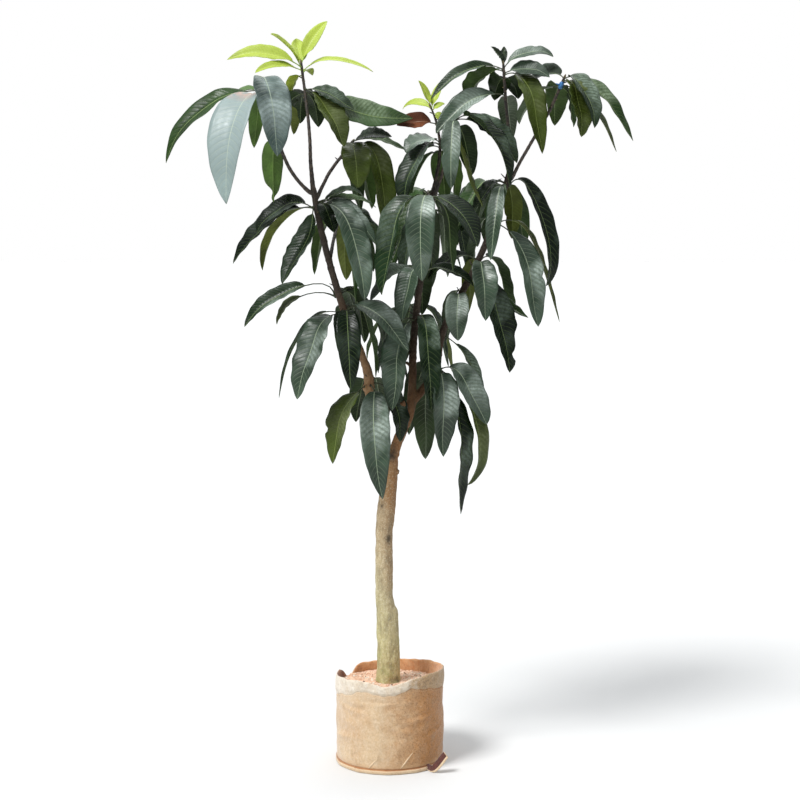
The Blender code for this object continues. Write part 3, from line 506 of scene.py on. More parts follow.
def touches(root, leaf, mass, placed):
    """Whether a leaf would come near anything placed before; petioles of one mass may meet."""
    blade = leaf_tree(root, leaf, CLEAR, True)
    whole = leaf_tree(root, leaf, GAP * 2)
    return any(
        blade.overlap(tree) or (owner not in (mass.name, mass.bough) and whole.overlap(tree))
        for owner, tree in placed
    )


def filling_leaves(whorl, rng):
    """Leaves set round the twig at the golden angle, inside the whorl's spread of headings."""
    count, middle, spread, down = whorl.fill
    turn = rng.uniform(0, 360)
    for _ in range(count):
        turn = (turn + GOLDEN_ANGLE) % 360
        heading = math.radians(middle + (turn / 360 - 0.5) * spread)
        reach = rng.uniform(*FILL_REACH)
        yield Leaf(
            reach * math.cos(heading), reach * math.sin(heading), down * rng.uniform(*FILL_DROP),
            rng.uniform(*FILL_WIDTH), rng.uniform(*FILL_RISE), rng.uniform(*FILL_HANG),
            rng.uniform(*FILL_TURN),
        )


def moved_leaf(leaf, swing, back):
    """The leaf swung round its root by some degrees, and its tip moved back."""
    angle = math.radians(swing)
    return leaf._replace(
        right=leaf.right * math.cos(angle) - leaf.back * math.sin(angle),
        back=leaf.right * math.sin(angle) + leaf.back * math.cos(angle) + back,
    )


def outwards(direction, along):
    """A direction with what lies along the limb taken out."""
    return (direction - along * direction.dot(along)).normalized()


def grow_twig(mass, bough):
    """The twig of a mass, from the middle of its collar's wall or from just off the bough's tip."""
    if not mass.twig:
        return None
    if mass.seat is None:
        out = bough.directions[-1]
        start, radius = bough.centres[-1] + out * GAP, bough.radii[-1] * 0.8
    else:
        centre, radius, along = bough.at(bough.station(mass.seat))
        out = outwards(Vector(mass.twig[0][:3]) - centre, along)
        start, radius = centre + out * (radius + GAP + COLLAR_WALL / 2), mass.twig[0][3]
    return Limb(((*start, radius), *mass.twig), TWIG_SIDES, out)


def grow_leaves(mass, bough, twig, whorl, leaves, first, placed):
    """(root, leaf, number) for the leaves that can be placed clear of all that was placed before.

    first is the number of the first of these leaves in its whorl, which sets where it has its root.
    """
    grown = []
    count = len(whorl.leaves) + whorl.fill[0]
    for i, leaf in enumerate(leaves, first):
        if twig:
            limb, station, start = twig, twig.from_tip(whorl.before + FIRST_ROOT + i * ROOT_STEP), 0.0
        else:
            along = ((i + 0.5) / count - 0.5) * COLLAR_USED
            limb, station = bough, bough.station(mass.seat + WHORL_COLLAR * along)
            start = bough.at(station)[1] + GAP + COLLAR_WALL / 2
        centre, _, along = limb.at(station)
        for swing, back in TRIES:
            tried = moved_leaf(leaf, swing, back)
            root = centre + outwards(Vector((tried.right, tried.back, 0)).normalized(), along) * start
            if not touches(root, tried, mass, placed):
                grown.append((root, tried, i))
                placed.append((mass.name, leaf_tree(root, tried)))
                break
    return grown


def mass_stem(mass, bough, twig):
    """The shapes that a mass grows from: its collar, its twig, or both."""
    shapes = []
    if mass.seat:
        half = (TWIG_COLLAR if twig else WHORL_COLLAR) / 2
        shapes.append(bough.collar_mesh(mass.seat - half, mass.seat + half))
    if twig:
        shapes.append(twig.mesh())
    return shapes


def plan_foliage(trunk, boughs):
    """Each mass's twig and its leaves as (row, root, leaf, number): the set leaves, then the filling."""
    twigs = {mass.name: grow_twig(mass, boughs[mass.bough]) for mass in MASSES}
    placed = [("trunk", trunk.mesh())] + [(name, limb.mesh()) for name, limb in boughs.items()]
    for mass in MASSES:
        placed += [(mass.name, shape) for shape in mass_stem(mass, boughs[mass.bough], twigs[mass.name])]
    placed = [(owner, BVHTree.FromPolygons(*shape)) for owner, shape in placed]
    leaves = {mass.name: [] for mass in MASSES}
    rng = random.Random(SEED)
    for filling in (False, True):
        for mass in MASSES:
            for row, whorl in enumerate(mass.whorls):
                if filling:
                    wanted, first = list(filling_leaves(whorl, rng)), len(whorl.leaves)
                else:
                    wanted, first = [Leaf(*measures) for measures in whorl.leaves], 0
                leaves[mass.name] += [(row, *grown) for grown in grow_leaves(
                    mass, boughs[mass.bough], twigs[mass.name], whorl, wanted, first, placed)]
    return twigs, leaves


def trunk_shape(centre, angle):
    """Root lobes that fade out above the soil."""
    fade = max(0.0, 1 - (centre.z - SOIL_TOP) / ROOT_FLARE_HEIGHT)
    return 1 + ROOT_FLARE * fade * fade * math.cos(ROOT_LOBES * angle + LOBE_TURN)


# ---- Meshes ----


def put(name, data):
    """A new object in the scene."""
    made = bpy.data.objects.new(name, data)
    bpy.context.scene.collection.objects.link(made)
    return made


def put_shape(name, points, edges, faces):
    mesh = bpy.data.meshes.new(name)
    mesh.from_pydata(points, edges, faces)
    return put(name, mesh)


def finished(obj, slot, *nodes):
    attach(obj, "root")
    if nodes:
        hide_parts(*nodes)


def plain_mesh(obj, name):
    """The object's evaluated mesh, and the object taken away."""
    bpy.context.view_layer.update()
    graph = bpy.context.evaluated_depsgraph_get()
    mesh = bpy.data.meshes.new_from_object(obj.evaluated_get(graph))
    mesh.name = name
    bpy.data.objects.remove(obj, do_unlink=True)
    return mesh


def read_points(mesh, what="co"):
    """The places of a mesh's points, or their normals."""
    values = np.empty(len(mesh.vertices) * 3, np.float32)
    mesh.vertices.foreach_get(what, values)
    return values.reshape(-1, 3).astype(float)


def keep_number(mesh, name, values):
    """Keeps a number on each point, for the finish to use."""
    mesh.attributes.new(name, "FLOAT", "POINT").data.foreach_set("value", values.astype(np.float32))


def smooth_shaded(mesh):
    mesh.polygons.foreach_set("use_smooth", np.ones(len(mesh.polygons), bool))


def face_outwards(mesh):
    """Turns the faces of closed shells outwards and shades them smooth."""
    shell = bmesh.new()
    shell.from_mesh(mesh)
    bmesh.ops.recalc_face_normals(shell, faces=shell.faces)
    shell.to_mesh(mesh)
    shell.free()
    smooth_shaded(mesh)
    mesh.update()


class Joined:
    """Points, faces, finishes and maps of many small shapes, gathered into one mesh."""

    def __init__(self):
        self.points, self.loops, self.sizes, self.kinds, self.maps = [], [], [], [], {}
        self.count = 0

    def add(self, points, blocks, maps=None):
        """blocks are (faces, kind) with faces an array of one number of corners; maps are per corner."""
        self.points.append(np.asarray(points, float).reshape(-1, 3))
        for faces, kind in blocks:
            faces = np.asarray(faces, int)
            self.loops.append((faces + self.count).ravel())
            self.sizes.append(np.full(len(faces), faces.shape[1]))
            self.kinds.append(np.broadcast_to(np.asarray(kind, int), (len(faces),)))
        for name, values in (maps or {}).items():
            self.maps.setdefault(name, []).append(np.asarray(values, float).reshape(-1, 2))
        self.count += len(self.points[-1])

    def add_round(self, stations, sides, relief=None, kind=0):
        """A round body, all of one finish."""
        points, quads, fans = round_body(stations, sides, relief)
        self.add(points, [(quads, kind), (fans, kind)])

    def make(self, name, finishes):
        mesh = bpy.data.meshes.new(name)
        points, loops = np.concatenate(self.points), np.concatenate(self.loops)
        sizes = np.concatenate(self.sizes)
        mesh.vertices.add(len(points))
        mesh.vertices.foreach_set("co", points.ravel().astype(np.float32))
        mesh.loops.add(len(loops))
        mesh.loops.foreach_set("vertex_index", loops.astype(np.int32))
        mesh.polygons.add(len(sizes))
        mesh.polygons.foreach_set("loop_start", (np.cumsum(sizes) - sizes).astype(np.int32))
        mesh.polygons.foreach_set("material_index", np.concatenate(self.kinds).astype(np.int32))
        for title, values in self.maps.items():
            layer = mesh.uv_layers.new(name=title)
            layer.data.foreach_set("uv", np.concatenate(values).ravel().astype(np.float32))
        mesh.update(calc_edges=True)
        mesh.validate()
        made = put(name, mesh)
        for material in finishes:
            mesh.materials.append(material)
        face_outwards(mesh)
        return made


def ring_faces(rings, sides):
    """Quads between rings of points, and the two fans that close the ends on points added last."""
    i, j = np.meshgrid(np.arange(rings - 1), np.arange(sides), indexing="ij")
    i, j = i.ravel(), j.ravel()
    k = (j + 1) % sides
    quads = np.stack([i * sides + j, i * sides + k, (i + 1) * sides + k, (i + 1) * sides + j], 1)
    j = np.arange(sides)
    k = (j + 1) % sides
    low, high, top = rings * sides, rings * sides + 1, (rings - 1) * sides
    first = np.stack([k, j, np.full(sides, low)], 1)
    last = np.stack([top + j, top + k, np.full(sides, high)], 1)
    return quads, np.concatenate([first, last])


def round_body(stations, sides, relief=None):
    """Points, quads and end fans of a round body on (x, y, z, radius) stations.

    relief gives, for arrays of share along and angle, what to multiply the radius by.
    """
    stations = np.asarray([tuple(s) for s in stations], float)
    centres, radii = stations[:, :3], stations[:, 3]
    ahead = directions_along(centres)
    side = np.cross(ahead[0], (0.0, 1.0, 0.0))
    if np.linalg.norm(side) < 0.1:
        side = np.cross(ahead[0], (1.0, 0.0, 0.0))
    sides_along = []
    for direction in ahead:
        side = side - direction * side.dot(direction)
        side /= np.linalg.norm(side)
        sides_along.append(side)
    first = np.array(sides_along)
    second = np.cross(ahead, first)
    angle = np.arange(sides) * math.tau / sides
    around = first[:, None] * np.cos(angle)[None, :, None] + second[:, None] * np.sin(angle)[None, :, None]
    reach = np.repeat(radii[:, None], sides, 1)
    if relief:
        reach = reach * relief(np.linspace(0, 1, len(stations))[:, None], angle[None, :])
    points = (centres[:, None] + around * reach[..., None]).reshape(-1, 3)
    return (np.concatenate([points, centres[:1], centres[-1:]]), *ring_faces(len(stations), sides))


def directions_along(centres):
    ahead = np.gradient(centres, axis=0)
    return ahead / np.linalg.norm(ahead, axis=1)[:, None]


def finer(stations, step):
    """The stations set again at even distances, about step apart."""
    stations = np.asarray([tuple(s) for s in stations], float)
    runs = np.linalg.norm(np.diff(stations[:, :3], axis=0), axis=1)
    along = np.concatenate([[0], np.cumsum(runs)])
    wanted = np.linspace(0, along[-1], max(3, int(along[-1] / step) + 1))
    return np.stack([np.interp(wanted, along, stations[:, i]) for i in range(4)], 1)


def bump_at(values, middle, width):
    """A smooth bump of height 1 at middle."""
    return np.exp(-((values - middle) / width) ** 2)


def grain(points, scale, seed):
    """Smooth noise, about -1 to 1, at each point; scale is its size in metres."""
    shift = Vector((seed, seed * 1.7, seed * 0.6))
    return np.array([noise.noise(Vector(p) / scale + shift) for p in points]) * 1.6


# ---- Finishes ----


class Finish:
    """A material in the making: short calls that add nodes and join them.

    tone is its colour so far, that coat lays more over.
    """

    def __init__(self, name, colour, roughness, **settings):
        self.material = bpy.data.materials.new(name)
        self.material.use_nodes = True
        self.tree = self.material.node_tree
        self.shader = self.tree.nodes["Principled BSDF"]
        self.set(self.shader, Base_Color=(*colour, 1), Roughness=roughness, **settings)
        self.tone = colour

    def set(self, node, **settings):
        for socket, value in settings.items():
            node.inputs[socket.replace("_", " ")].default_value = value
        return node

    def add(self, kind, **settings):
        return self.set(self.tree.nodes.new("ShaderNode" + kind), **settings)

    def join(self, source, socket):
        self.tree.links.new(source, socket)

    def fill(self, sockets, values):
        """Sets each socket to a number or a colour, or joins it to another node."""
        for socket, value in zip(sockets, values):
            if isinstance(value, (int, float)):
                socket.default_value = value
            elif isinstance(value, tuple):
                socket.default_value = (*value, 1)
            else:
                self.join(value, socket)

    def place(self, squash=(1, 1, 1)):
        """Object coordinates, squashed along the axes."""
        mapping = self.add("Mapping", Scale=squash)
        self.join(self.add("TexCoord").outputs["Object"], mapping.inputs["Vector"])
        return mapping.outputs["Vector"]

    def split(self, vector):
        """The three numbers of a vector."""
        node = self.add("SeparateXYZ")
        self.join(vector, node.inputs[0])
        return tuple(node.outputs)

    def noise(self, scale, detail=4.0, roughness=0.55, squash=(1, 1, 1), distortion=0.0):
        node = self.add("TexNoise", Scale=scale, Detail=detail, Roughness=roughness, Distortion=distortion)
        self.join(self.place(squash), node.inputs["Vector"])
        return node.outputs["Fac"]

    def cells(self, scale, squash=(1, 1, 1)):
        node = self.add("TexVoronoi", Scale=scale)
        self.join(self.place(squash), node.inputs["Vector"])
        return node.outputs["Distance"]

    def math(self, operation, *values):
        node = self.add("Math")
        node.operation = operation
        self.fill(node.inputs, values)
        return node.outputs[0]

    def times(self, first, *others):
        for other in others:
            first = self.math("MULTIPLY", first, other)
        return first

    def span(self, value, low, high, to_low=0.0, to_high=1.0):
        """value between low and high as to_low to to_high, kept inside them."""
        node = self.add("MapRange")
        self.fill(node.inputs, (value, low, high, to_low, to_high))
        return node.outputs[0]

    def patches(self, pattern, *limits):
        """Noise by its (scale, detail, ...), with its limits as in span."""
        return self.span(self.noise(*pattern), *limits)

    def coat(self, over, *shares, way="MIX"):
        """Lays a colour over the tone, by the product of its shares."""
        node = self.add("Mix")
        node.data_type = "RGBA"
        node.blend_type = way
        self.fill((node.inputs[0], node.inputs[6], node.inputs[7]), (self.times(*shares), self.tone, over))
        self.tone = node.outputs[2]

    def ramp(self, value, stops):
        node = self.add("ValToRGB")
        ramp = node.color_ramp
        while len(ramp.elements) < len(stops):
            ramp.elements.new(0.5)
        for element, (place, colour) in zip(ramp.elements, stops):
            element.position = place
            element.color = (*colour, 1)
        self.join(value, node.inputs[0])
        return node.outputs[0]

    def part_of(self, name):
        """A number kept on the mesh's points."""
        node = self.add("Attribute")
        node.attribute_name = name
        return node.outputs["Fac"]

    def towards_right(self, low, high, most):
        """0 to most, where x goes from low to high."""
        return self.span(self.split(self.place())[0], low, high, 0.0, most)

    def relief(self, height, strength, depth):
        node = self.add("Bump", Strength=strength, Distance=depth)
        self.join(height, node.inputs["Height"])
        self.join(node.outputs["Normal"], self.shader.inputs["Normal"])

    def gloss(self, socket):
        self.join(socket, self.shader.inputs["Roughness"])

    def done(self):
        """The material, with its tone as its colour."""
        if not isinstance(self.tone, tuple):
            self.join(self.tone, self.shader.inputs["Base Color"])
        return self.material


def tinted(colour, factor):
    return tuple(c * factor for c in colour)


def mottled(name, base, roughness, pattern, low, high, under, over):
    """A finish of two colours, mixed by noise."""
    skin = Finish(name, base, roughness)
    skin.tone = under
    skin.coat(over, skin.patches(pattern, low, high))
    return skin


# ---- Leaves ----

BLADE_STATIONS = 30
BLADE_STEPS = (0.0, 0.28, 0.56, 0.82, 1.0)      # from the midrib's edge to the margin
BLADE_HALF_THICK, MARGIN_HALF_THICK = 0.00032, 0.00016
MIDRIB_BASE, MIDRIB_TIP = 0.0013, 0.0003
FULL_SPAN = 0.18              # length from which a leaf has a full-sized midrib
FULL_WIDTH = 0.06             # width from which a leaf has a full-sized petiole
# Ranges of what differs from blade to blade, heights and depths as shares of its width
BASE_TAPER, TIP_TAPER = (0.54, 0.68), (0.68, 0.90)          # the more, the narrower that end
WAVES, RIPPLE = (3.5, 6.5), (0.014, 0.042)      # of the margins: how many, and how high
FOLD, DROOP = (0.10, 0.25), (0.02, 0.10)        # how far a half rises, and how far its margin sinks back
BEND = (-0.03, 0.03)          # to the side, as a share of its length
BITE_PLACE, BITE_HALF_LENGTH, BITE_DEPTH = (0.2, 0.85), (0.02, 0.05), (0.15, 0.4)
BITE_CHANCE = 0.12
MAP_EDGE = 0.02               # of the vein map at the midrib, and left free at the bake cell's sides
CELL_SHAPE, CELL_FILL = 1.4, (0.94, 0.96)       # cells across for one down, share of a cell that is used
LEAF_SEED = 19
PETIOLE_SIDES = 8
# The petiole: (share of its length, share of its radius), swollen where it starts
PETIOLE_OUTLINE = (
    (0.0, 1.45), (0.06, 1.55), (0.16, 1.25), (0.34, 0.92), (0.58, 0.84), (0.82, 0.86), (1.0, 0.95),
    (1.12, 0.55),
)
VEINS = 21.0
UPPER, UNDER, MIDRIB = range(3)                 # a blade's finishes

# What each leaf's blade looks like: (upper side, under side, midrib, painted sheen that stands for the sky's
# reflection)
TINTS = {
    "dark": ((0.003, 0.010, 0.003), (0.016, 0.036, 0.007), (0.140, 0.200, 0.070), (0.120, 0.165, 0.120)),
    "deep": ((0.007, 0.022, 0.006), (0.022, 0.048, 0.009), (0.170, 0.230, 0.090), (0.215, 0.280, 0.215)),
    "green": ((0.022, 0.056, 0.011), (0.045, 0.088, 0.014), (0.180, 0.250, 0.080), (0.220, 0.290, 0.180)),
    # painted reflection of the sky: a grey-green base under a strong painted sheen
    "sheen": ((0.036, 0.065, 0.038), (0.040, 0.072, 0.022), (0.310, 0.380, 0.250), (0.385, 0.460, 0.400)),
    # painted reflection of the sky, bluer and paler than sheen
    "frost": ((0.036, 0.068, 0.058), (0.060, 0.100, 0.040), (0.340, 0.420, 0.320), (0.370, 0.450, 0.430)),
    # painted reflection of the sky laid into a pale bluish base colour
    "pale": ((0.255, 0.330, 0.318), (0.095, 0.145, 0.075), (0.420, 0.490, 0.390), (0.285, 0.355, 0.348)),
    "olive": ((0.050, 0.074, 0.010), (0.095, 0.120, 0.018), (0.180, 0.230, 0.055), (0.140, 0.165, 0.070)),
    # painted light: a bright green base that stands for light shining through the blade from behind
    "bright": ((0.060, 0.140, 0.020), (0.090, 0.180, 0.025), (0.190, 0.300, 0.070), (0.130, 0.220, 0.080)),
    "flush": ((0.390, 0.500, 0.045), (0.400, 0.510, 0.050), (0.540, 0.640, 0.120), (0.430, 0.540, 0.075)),
    "dead": ((0.090, 0.028, 0.012), (0.150, 0.050, 0.020), (0.200, 0.090, 0.040), (0.200, 0.062, 0.022)),
}
# How much of its ripples and mottling a leaf keeps, where that isn't all
CALM = {"flush": 0.4, "pale": 0.3, "frost": 0.7, "bright": 0.5}
BLUSHING = 0.35               # leaves that keep less than this blush near the petiole
ROUGHNESS = {"pale": 0.42, "sheen": 0.34, "flush": 0.44, "dead": 0.8}
USUAL_ROUGHNESS = 0.27
MATT = ("dark", "deep", "green", "olive", "dead")
MATT_GLEAM, GLEAM = 0.20, 0.42
USUAL = (("dark", 0.34), ("deep", 0.25), ("green", 0.14), ("sheen", 0.21), ("olive", 0.06))
WHOLE = ("pale", "frost")     # tints whose leaves aren't eaten
# The tints of a row of leaves, by number; those marked - or beyond the end are dealt from the usual ones
SET_TINTS = {
    ("top_flush", 0): "flush " * 8, ("middle_shoot", 0): "flush " * 5,
    ("top_flush", 1): "olive deep green", ("left_shoot", 0): "frost",
    ("left_shoot", 1): "green bright pale bright", ("left_shoot", 2): "bright",
    ("inner_shoot", 0): "- olive olive", ("left_whorl", 0): "dark dark olive deep - sheen - sheen",
    ("left_middle_whorl", 0): "deep olive", ("left_lower_whorl", 0): "sheen - - dark sheen",
    ("fork_whorl", 0): "olive sheen dark", ("middle_shoot", 1): "dead",
    ("middle_shoot", 2): "sheen dark - dark", ("side_shoot", 0): "deep dark sheen olive",
    ("front_shoot", 0): "sheen deep - dark dark", ("middle_whorl", 0): "sheen",
    ("middle_lower_whorl", 0): "deep sheen", ("high_shoot", 1): "deep green - olive",
    ("high_shoot", 2): "sheen", ("outer_shoot", 0): "dark deep olive green olive",
    ("right_whorl", 0): "- - olive dark sheen", ("right_upper_whorl", 0): "sheen",
    ("right_middle_whorl", 0): "sheen - dark", ("right_inner_whorl", 0): "sheen",
    ("right_base_whorl", 0): "sheen sheen dark olive sheen",
}
BITTEN = {                    # leaf: (side, share along, half length, depth) of what is eaten
    ("left_shoot", 2, 0): ((1, 0.86, 0.10, 0.75), (-1, 0.93, 0.06, 0.8)),
    ("right_middle_whorl", 0, 2): ((1, 0.70, 0.10, 0.55), (1, 0.84, 0.05, 0.6)),
    ("left_shoot", 1, 0): ((1, 0.24, 0.05, 0.35),),
    ("left_lower_whorl", 0, 1): ((-1, 0.55, 0.06, 0.4),),
    ("left_whorl", 0, 4): ((1, 0.62, 0.06, 0.45),),
}
# How far a blade bends to the side in its own plane, as a share of its length, and how far it bulges
BOWED = {
    ("fork_whorl", 0, 1): (-0.060, 0.0), ("left_shoot", 1, 2): (0.0, 0.009),
    ("left_whorl", 0, 3): (0.03, 0.0), ("left_lower_whorl", 0, 0): (0.03, 0.0),
    ("right_base_whorl", 0, 2): (-0.03, 0.0),
}


def leaf_finish(name, base, vein, painted_sheen, roughness, depth, calm, gleam):
    """Waxy blade: side veins that slant to the tip, mottling, a painted sheen for the sky's reflection,
    painted shade beside the sunken veins, and relief between the veins.
    """
    leaf = Finish(name, base, roughness, Specular_IOR_Level=gleam)
    map_node = leaf.add("UVMap")
    map_node.uv_map = "veins"
    sideways, ahead, _ = leaf.split(map_node.outputs[0])
    across = leaf.math("ABSOLUTE", leaf.math("MULTIPLY_ADD", sideways, 2.0, -1.0))
    slant = leaf.times(across, leaf.math("MULTIPLY_ADD", across, 0.9, 1.3))
    phase = leaf.math("SUBTRACT", leaf.times(ahead, VEINS), slant)
    wave = leaf.math("ABSOLUTE", leaf.math("SINE", leaf.times(phase, math.pi)))
    veins = leaf.times(leaf.span(wave, 0.0, 0.26, 1.0, 0.0), leaf.span(across, 0.55, 0.98, 1.0, 0.15))
    light = tuple(min(1.0, c * (1.15 + 0.55 * calm) + 0.005) for c in base)
    dim = tinted(base, 0.90 - 0.32 * calm)
    leaf.tone = dim
    leaf.coat(light, leaf.patches((13, 3), 0.40, 0.62), 0.70)
    leaf.coat(dim, leaf.patches((60, 5, 0.65), 0.35, 0.72), 0.40)
    # painted sheen: pale patches that stand for the sky's reflection, strongest away from the blade's base
    # and tip
    painted_sheen_mask = leaf.times(
        leaf.patches((10, 2), 0.16 + 0.30 * calm, 0.50 + 0.12 * calm),
        leaf.span(ahead, 0.0, 0.22), leaf.span(ahead, 0.48, 0.85, 1.0, 0.12),
        leaf.patches((110, 5, 0.75), 0.36, 0.60, 1.0 - 0.62 * calm, 1.0),
    )
    if calm == 1.0:                       # painted sheen: one half of the blade gets more of it, as if turned to the light
        painted_sheen_mask = leaf.times(painted_sheen_mask, leaf.span(sideways, 0.46, 0.54, 0.40, 1.0))
    leaf.coat(painted_sheen, painted_sheen_mask)
    if calm < BLUSHING:
        blush = leaf.patches((40, 3), 0.36, 0.56)
        leaf.coat((0.52, 0.33, 0.27), leaf.span(ahead, 0.06, 0.20, 1.0, 0.0), blush)
    # painted shade in the grooves along the sunken side veins, weaker towards the margin
    groove_shade = leaf.times(leaf.span(wave, 0.25, 0.85, 0.50, 0.0), leaf.span(across, 0.70, 1.0, 1.0, 0.3))
    leaf.coat(dim, groove_shade, 0.35 + 0.65 * calm)
    leaf.coat(vein, veins, 0.62 - 0.22 * calm)
    leaf.gloss(leaf.patches((60, 3), 0.3, 0.7, roughness - 0.07, roughness + 0.12))
    swell = leaf.math("ADD", leaf.times(wave, 0.65), leaf.times(leaf.noise(24, 3), 1.2))
    leaf.relief(swell, 0.38, depth)
    return leaf.done()


def blade_finishes(tint):
    upper, under, rib, painted_sheen = TINTS[tint]
    gleam = MATT_GLEAM if tint in MATT else GLEAM
    return (
        leaf_finish(f"leaf_{tint}", upper, rib, painted_sheen, ROUGHNESS.get(tint, USUAL_ROUGHNESS), 0.0011,
                    CALM.get(tint, 1.0), gleam),
        # the under side's painted sheen is its own colour made paler
        leaf_finish(f"leaf_{tint}_under", under, rib, tinted(under, 1.3), 0.58, 0.0008, 1.0, gleam),
        Finish(f"midrib_{tint}", rib, 0.5).done(),
    )


def blade_widths(share, rng):
    """Half widths along the blade, from 0 to 1: narrow base, widest near the middle, drawn-out tip."""
    base, tip = rng.uniform(*BASE_TAPER), rng.uniform(*TIP_TAPER)
    peak = base / (base + tip)
    return share ** base * (1 - share) ** tip / (peak ** base * (1 - peak) ** tip)


def leaf_frame(root, leaf, stations):
    """Centres, sides and faces of a leaf's curve at the given shares of it, and the leaf's length."""
    handles, span, across = leaf_curve(root, leaf)
    rows = [leaf_axes(leaf, handles, across, t) for t in stations]
    centres, _, sides, faces = (np.array(column) for column in zip(*rows))
    return centres, sides, faces, span


def blade_columns(share, leaf, rib, half, rng, bites, calm):
    """(side, step from the midrib, distance out, lift, half thickness) of the blade from margin to margin."""
    waves = rng.uniform(*WAVES)
    ripple = rng.uniform(*RIPPLE) * calm
    phases = {1: rng.uniform(0, math.tau), -1: rng.uniform(0, math.tau)}
    fold, droop = rng.uniform(*FOLD), rng.uniform(*DROOP)
    halves = {1: [], -1: []}
    for sign, columns in halves.items():
        reach = half * (1 + 0.012 * np.sin(share * math.tau * waves * 1.3 + phases[sign]))
        for bite_side, middle, width, depth in bites:
            if bite_side == sign:
                ragged = 1 + 0.25 * np.sin(share * 160 + sign)
                reach = reach * (1 - depth * bump_at(share, middle, width) * ragged)
        reach = np.maximum(reach, rib * 1.05 + 0.0001)
        for step in BLADE_STEPS:
            lift = leaf.width * (half / (leaf.width / 2)) * (
                (fold + droop) * step - droop * step ** 2.2
                + ripple * step ** 2 * np.sin(share * math.tau * waves + phases[sign]))
            thick = BLADE_HALF_THICK + (MARGIN_HALF_THICK - BLADE_HALF_THICK) * step ** 2
            columns.append((sign, step, rib + (reach - rib) * step, lift, thick))
    return halves[1][::-1] + [(0, 0.0, 0.0 * share, 0.0 * share, rib * 0.42 + BLADE_HALF_THICK)] + halves[-1]


def blade_shape(root, leaf, rng, bites, bow, bulge, calm):
    """Points, faces and finishes of one blade, with its vein map and its place in a 0 to 1 bake cell."""
    share = np.linspace(0, 1, BLADE_STATIONS + 1) ** 1.04
    centres, sides, faces, span = leaf_frame(root, leaf, leaf.stalk + (1 - leaf.stalk) * share)
    half = leaf.width / 2 * blade_widths(share, rng)
    rib = MIDRIB_TIP + (MIDRIB_BASE - MIDRIB_TIP) * (1 - share) ** 0.8
    rib = rib * min(1.0, span / FULL_SPAN)
    rib[0] = PETIOLE_RADIUS * 0.8
    order = blade_columns(share, leaf, rib, half, rng, bites, calm)
    swings, start = rng.uniform(0.8, 1.6), rng.uniform(0, math.tau)
    sway = 0.05 * calm * leaf.width * np.sin(share * math.tau * swings + start)
    hump = (4 * share * (1 - share))[:, None]
    centres = centres + faces * (sway[:, None] + bulge) * hump + sides * hump * span * bow
    rings = []
    for up in (1, -1):
        for sign, _, offset, lift, thick in order[::up]:
            push = lift + up * (thick if up == 1 or sign else thick * 1.9)
            rings.append(centres + sides * (sign * offset)[:, None] + faces * push[:, None])
    count = len(rings)
    points = np.concatenate([np.stack(rings, 1).reshape(-1, 3), centres[:1], centres[-1:]])
    quads, fans = ring_faces(len(share), count)
    column = np.tile(np.arange(count), len(share) - 1)
    middle = len(order) // 2
    is_rib = np.isin(column, (middle - 1, middle, count - middle - 2, count - middle - 1))
    kinds = np.where(is_rib, MIDRIB, np.where(column < len(order) - 1, UPPER, UNDER))
    return points, quads, fans, kinds, blade_maps(share, order, column, len(fans))


def blade_maps(share, order, column, fans):
    """Across the blade and along it, and the two sides next to each other in the bake cell."""
    spread = np.array([sign * (MAP_EDGE + (1 - MAP_EDGE) * step) for sign, step, *_ in order])
    spread = np.concatenate([spread, spread[::-1]]) * 0.5 + 0.5
    upper = np.linspace(MAP_EDGE, 0.5 - MAP_EDGE, len(order))
    under = np.linspace(0.5 + MAP_EDGE, 1 - MAP_EDGE, len(order))
    place = np.concatenate([upper, under, [1.0]])
    row = np.repeat(np.arange(len(share) - 1), len(spread))
    rows = np.stack([row, row, row + 1, row + 1], 1)
    columns = np.stack([column, column + 1, column + 1, column], 1)
    veins = np.stack([spread[columns % len(spread)], share[rows]], -1).reshape(-1, 2)
    cell = np.stack([place[columns], 0.01 + 0.98 * share[rows]], -1).reshape(-1, 2)
    fan_veins = np.full((fans * 3, 2), 0.5)
    fan_cell = np.tile([[0.0, 0.0], [0.004, 0.0], [0.0, 0.004]], (fans, 1))
    return np.concatenate([veins, fan_veins]), np.concatenate([cell, fan_cell])


def petiole_stations(root, leaf, anchor):
    """The petiole, from inside what carries it to just inside the blade."""
    share, radii = np.array(PETIOLE_OUTLINE).T
    centres = leaf_frame(root, leaf, share * leaf.stalk)[0]
    radii = radii * PETIOLE_RADIUS
    radii *= 0.72 + 0.28 * min(1.0, leaf.width / FULL_WIDTH)
    stations = np.concatenate([centres, radii[:, None]], 1)
    return np.concatenate([[[*anchor, radii[0]]], stations])


def tint_of(mass, row, number, rng):
    dealt = rng.random()
    chosen = SET_TINTS.get((mass, row), "").split()[number:number + 1]
    if chosen and chosen[0] != "-":
        return chosen[0]
    for tint, share in USUAL:
        dealt -= share
        if dealt < 0:
            return tint
    return "dark"


def anchor_of(limb, root):
    """A point inside the twig or bough that carries a petiole."""
    near = min(range(len(limb.centres)), key=lambda i: (limb.centres[i] - root).length)
    best = limb.centres[near]
    for i in (near - 1, near):
        if 0 <= i < len(limb.centres) - 1:
            start, end = limb.centres[i], limb.centres[i + 1]
            share = max(0.0, min(1.0, (root - start).dot(end - start) / (end - start).length_squared))
            point = start.lerp(end, share)
            if (point - root).length < (best - root).length:
                best = point
    return root.lerp(best, 0.8) if (best - root).length > 0.001 else root - Vector((0, 0, 0.002))


def joined_blades(blades):
    """The blades of one piece, each in its own cell of the bake map."""
    joined = Joined()
    across = math.ceil(math.sqrt(len(blades) * CELL_SHAPE))
    down = math.ceil(len(blades) / across)
    size = np.array(CELL_FILL) / (across, down)
    for i, (points, quads, fans, kinds, (veins, cell)) in enumerate(blades):
        corner = np.array([i % across / across, i // across / down])
        joined.add(points, [(quads, kinds), (fans, MIDRIB)], {"veins": veins, "OFBake": cell * size + corner})
    return joined


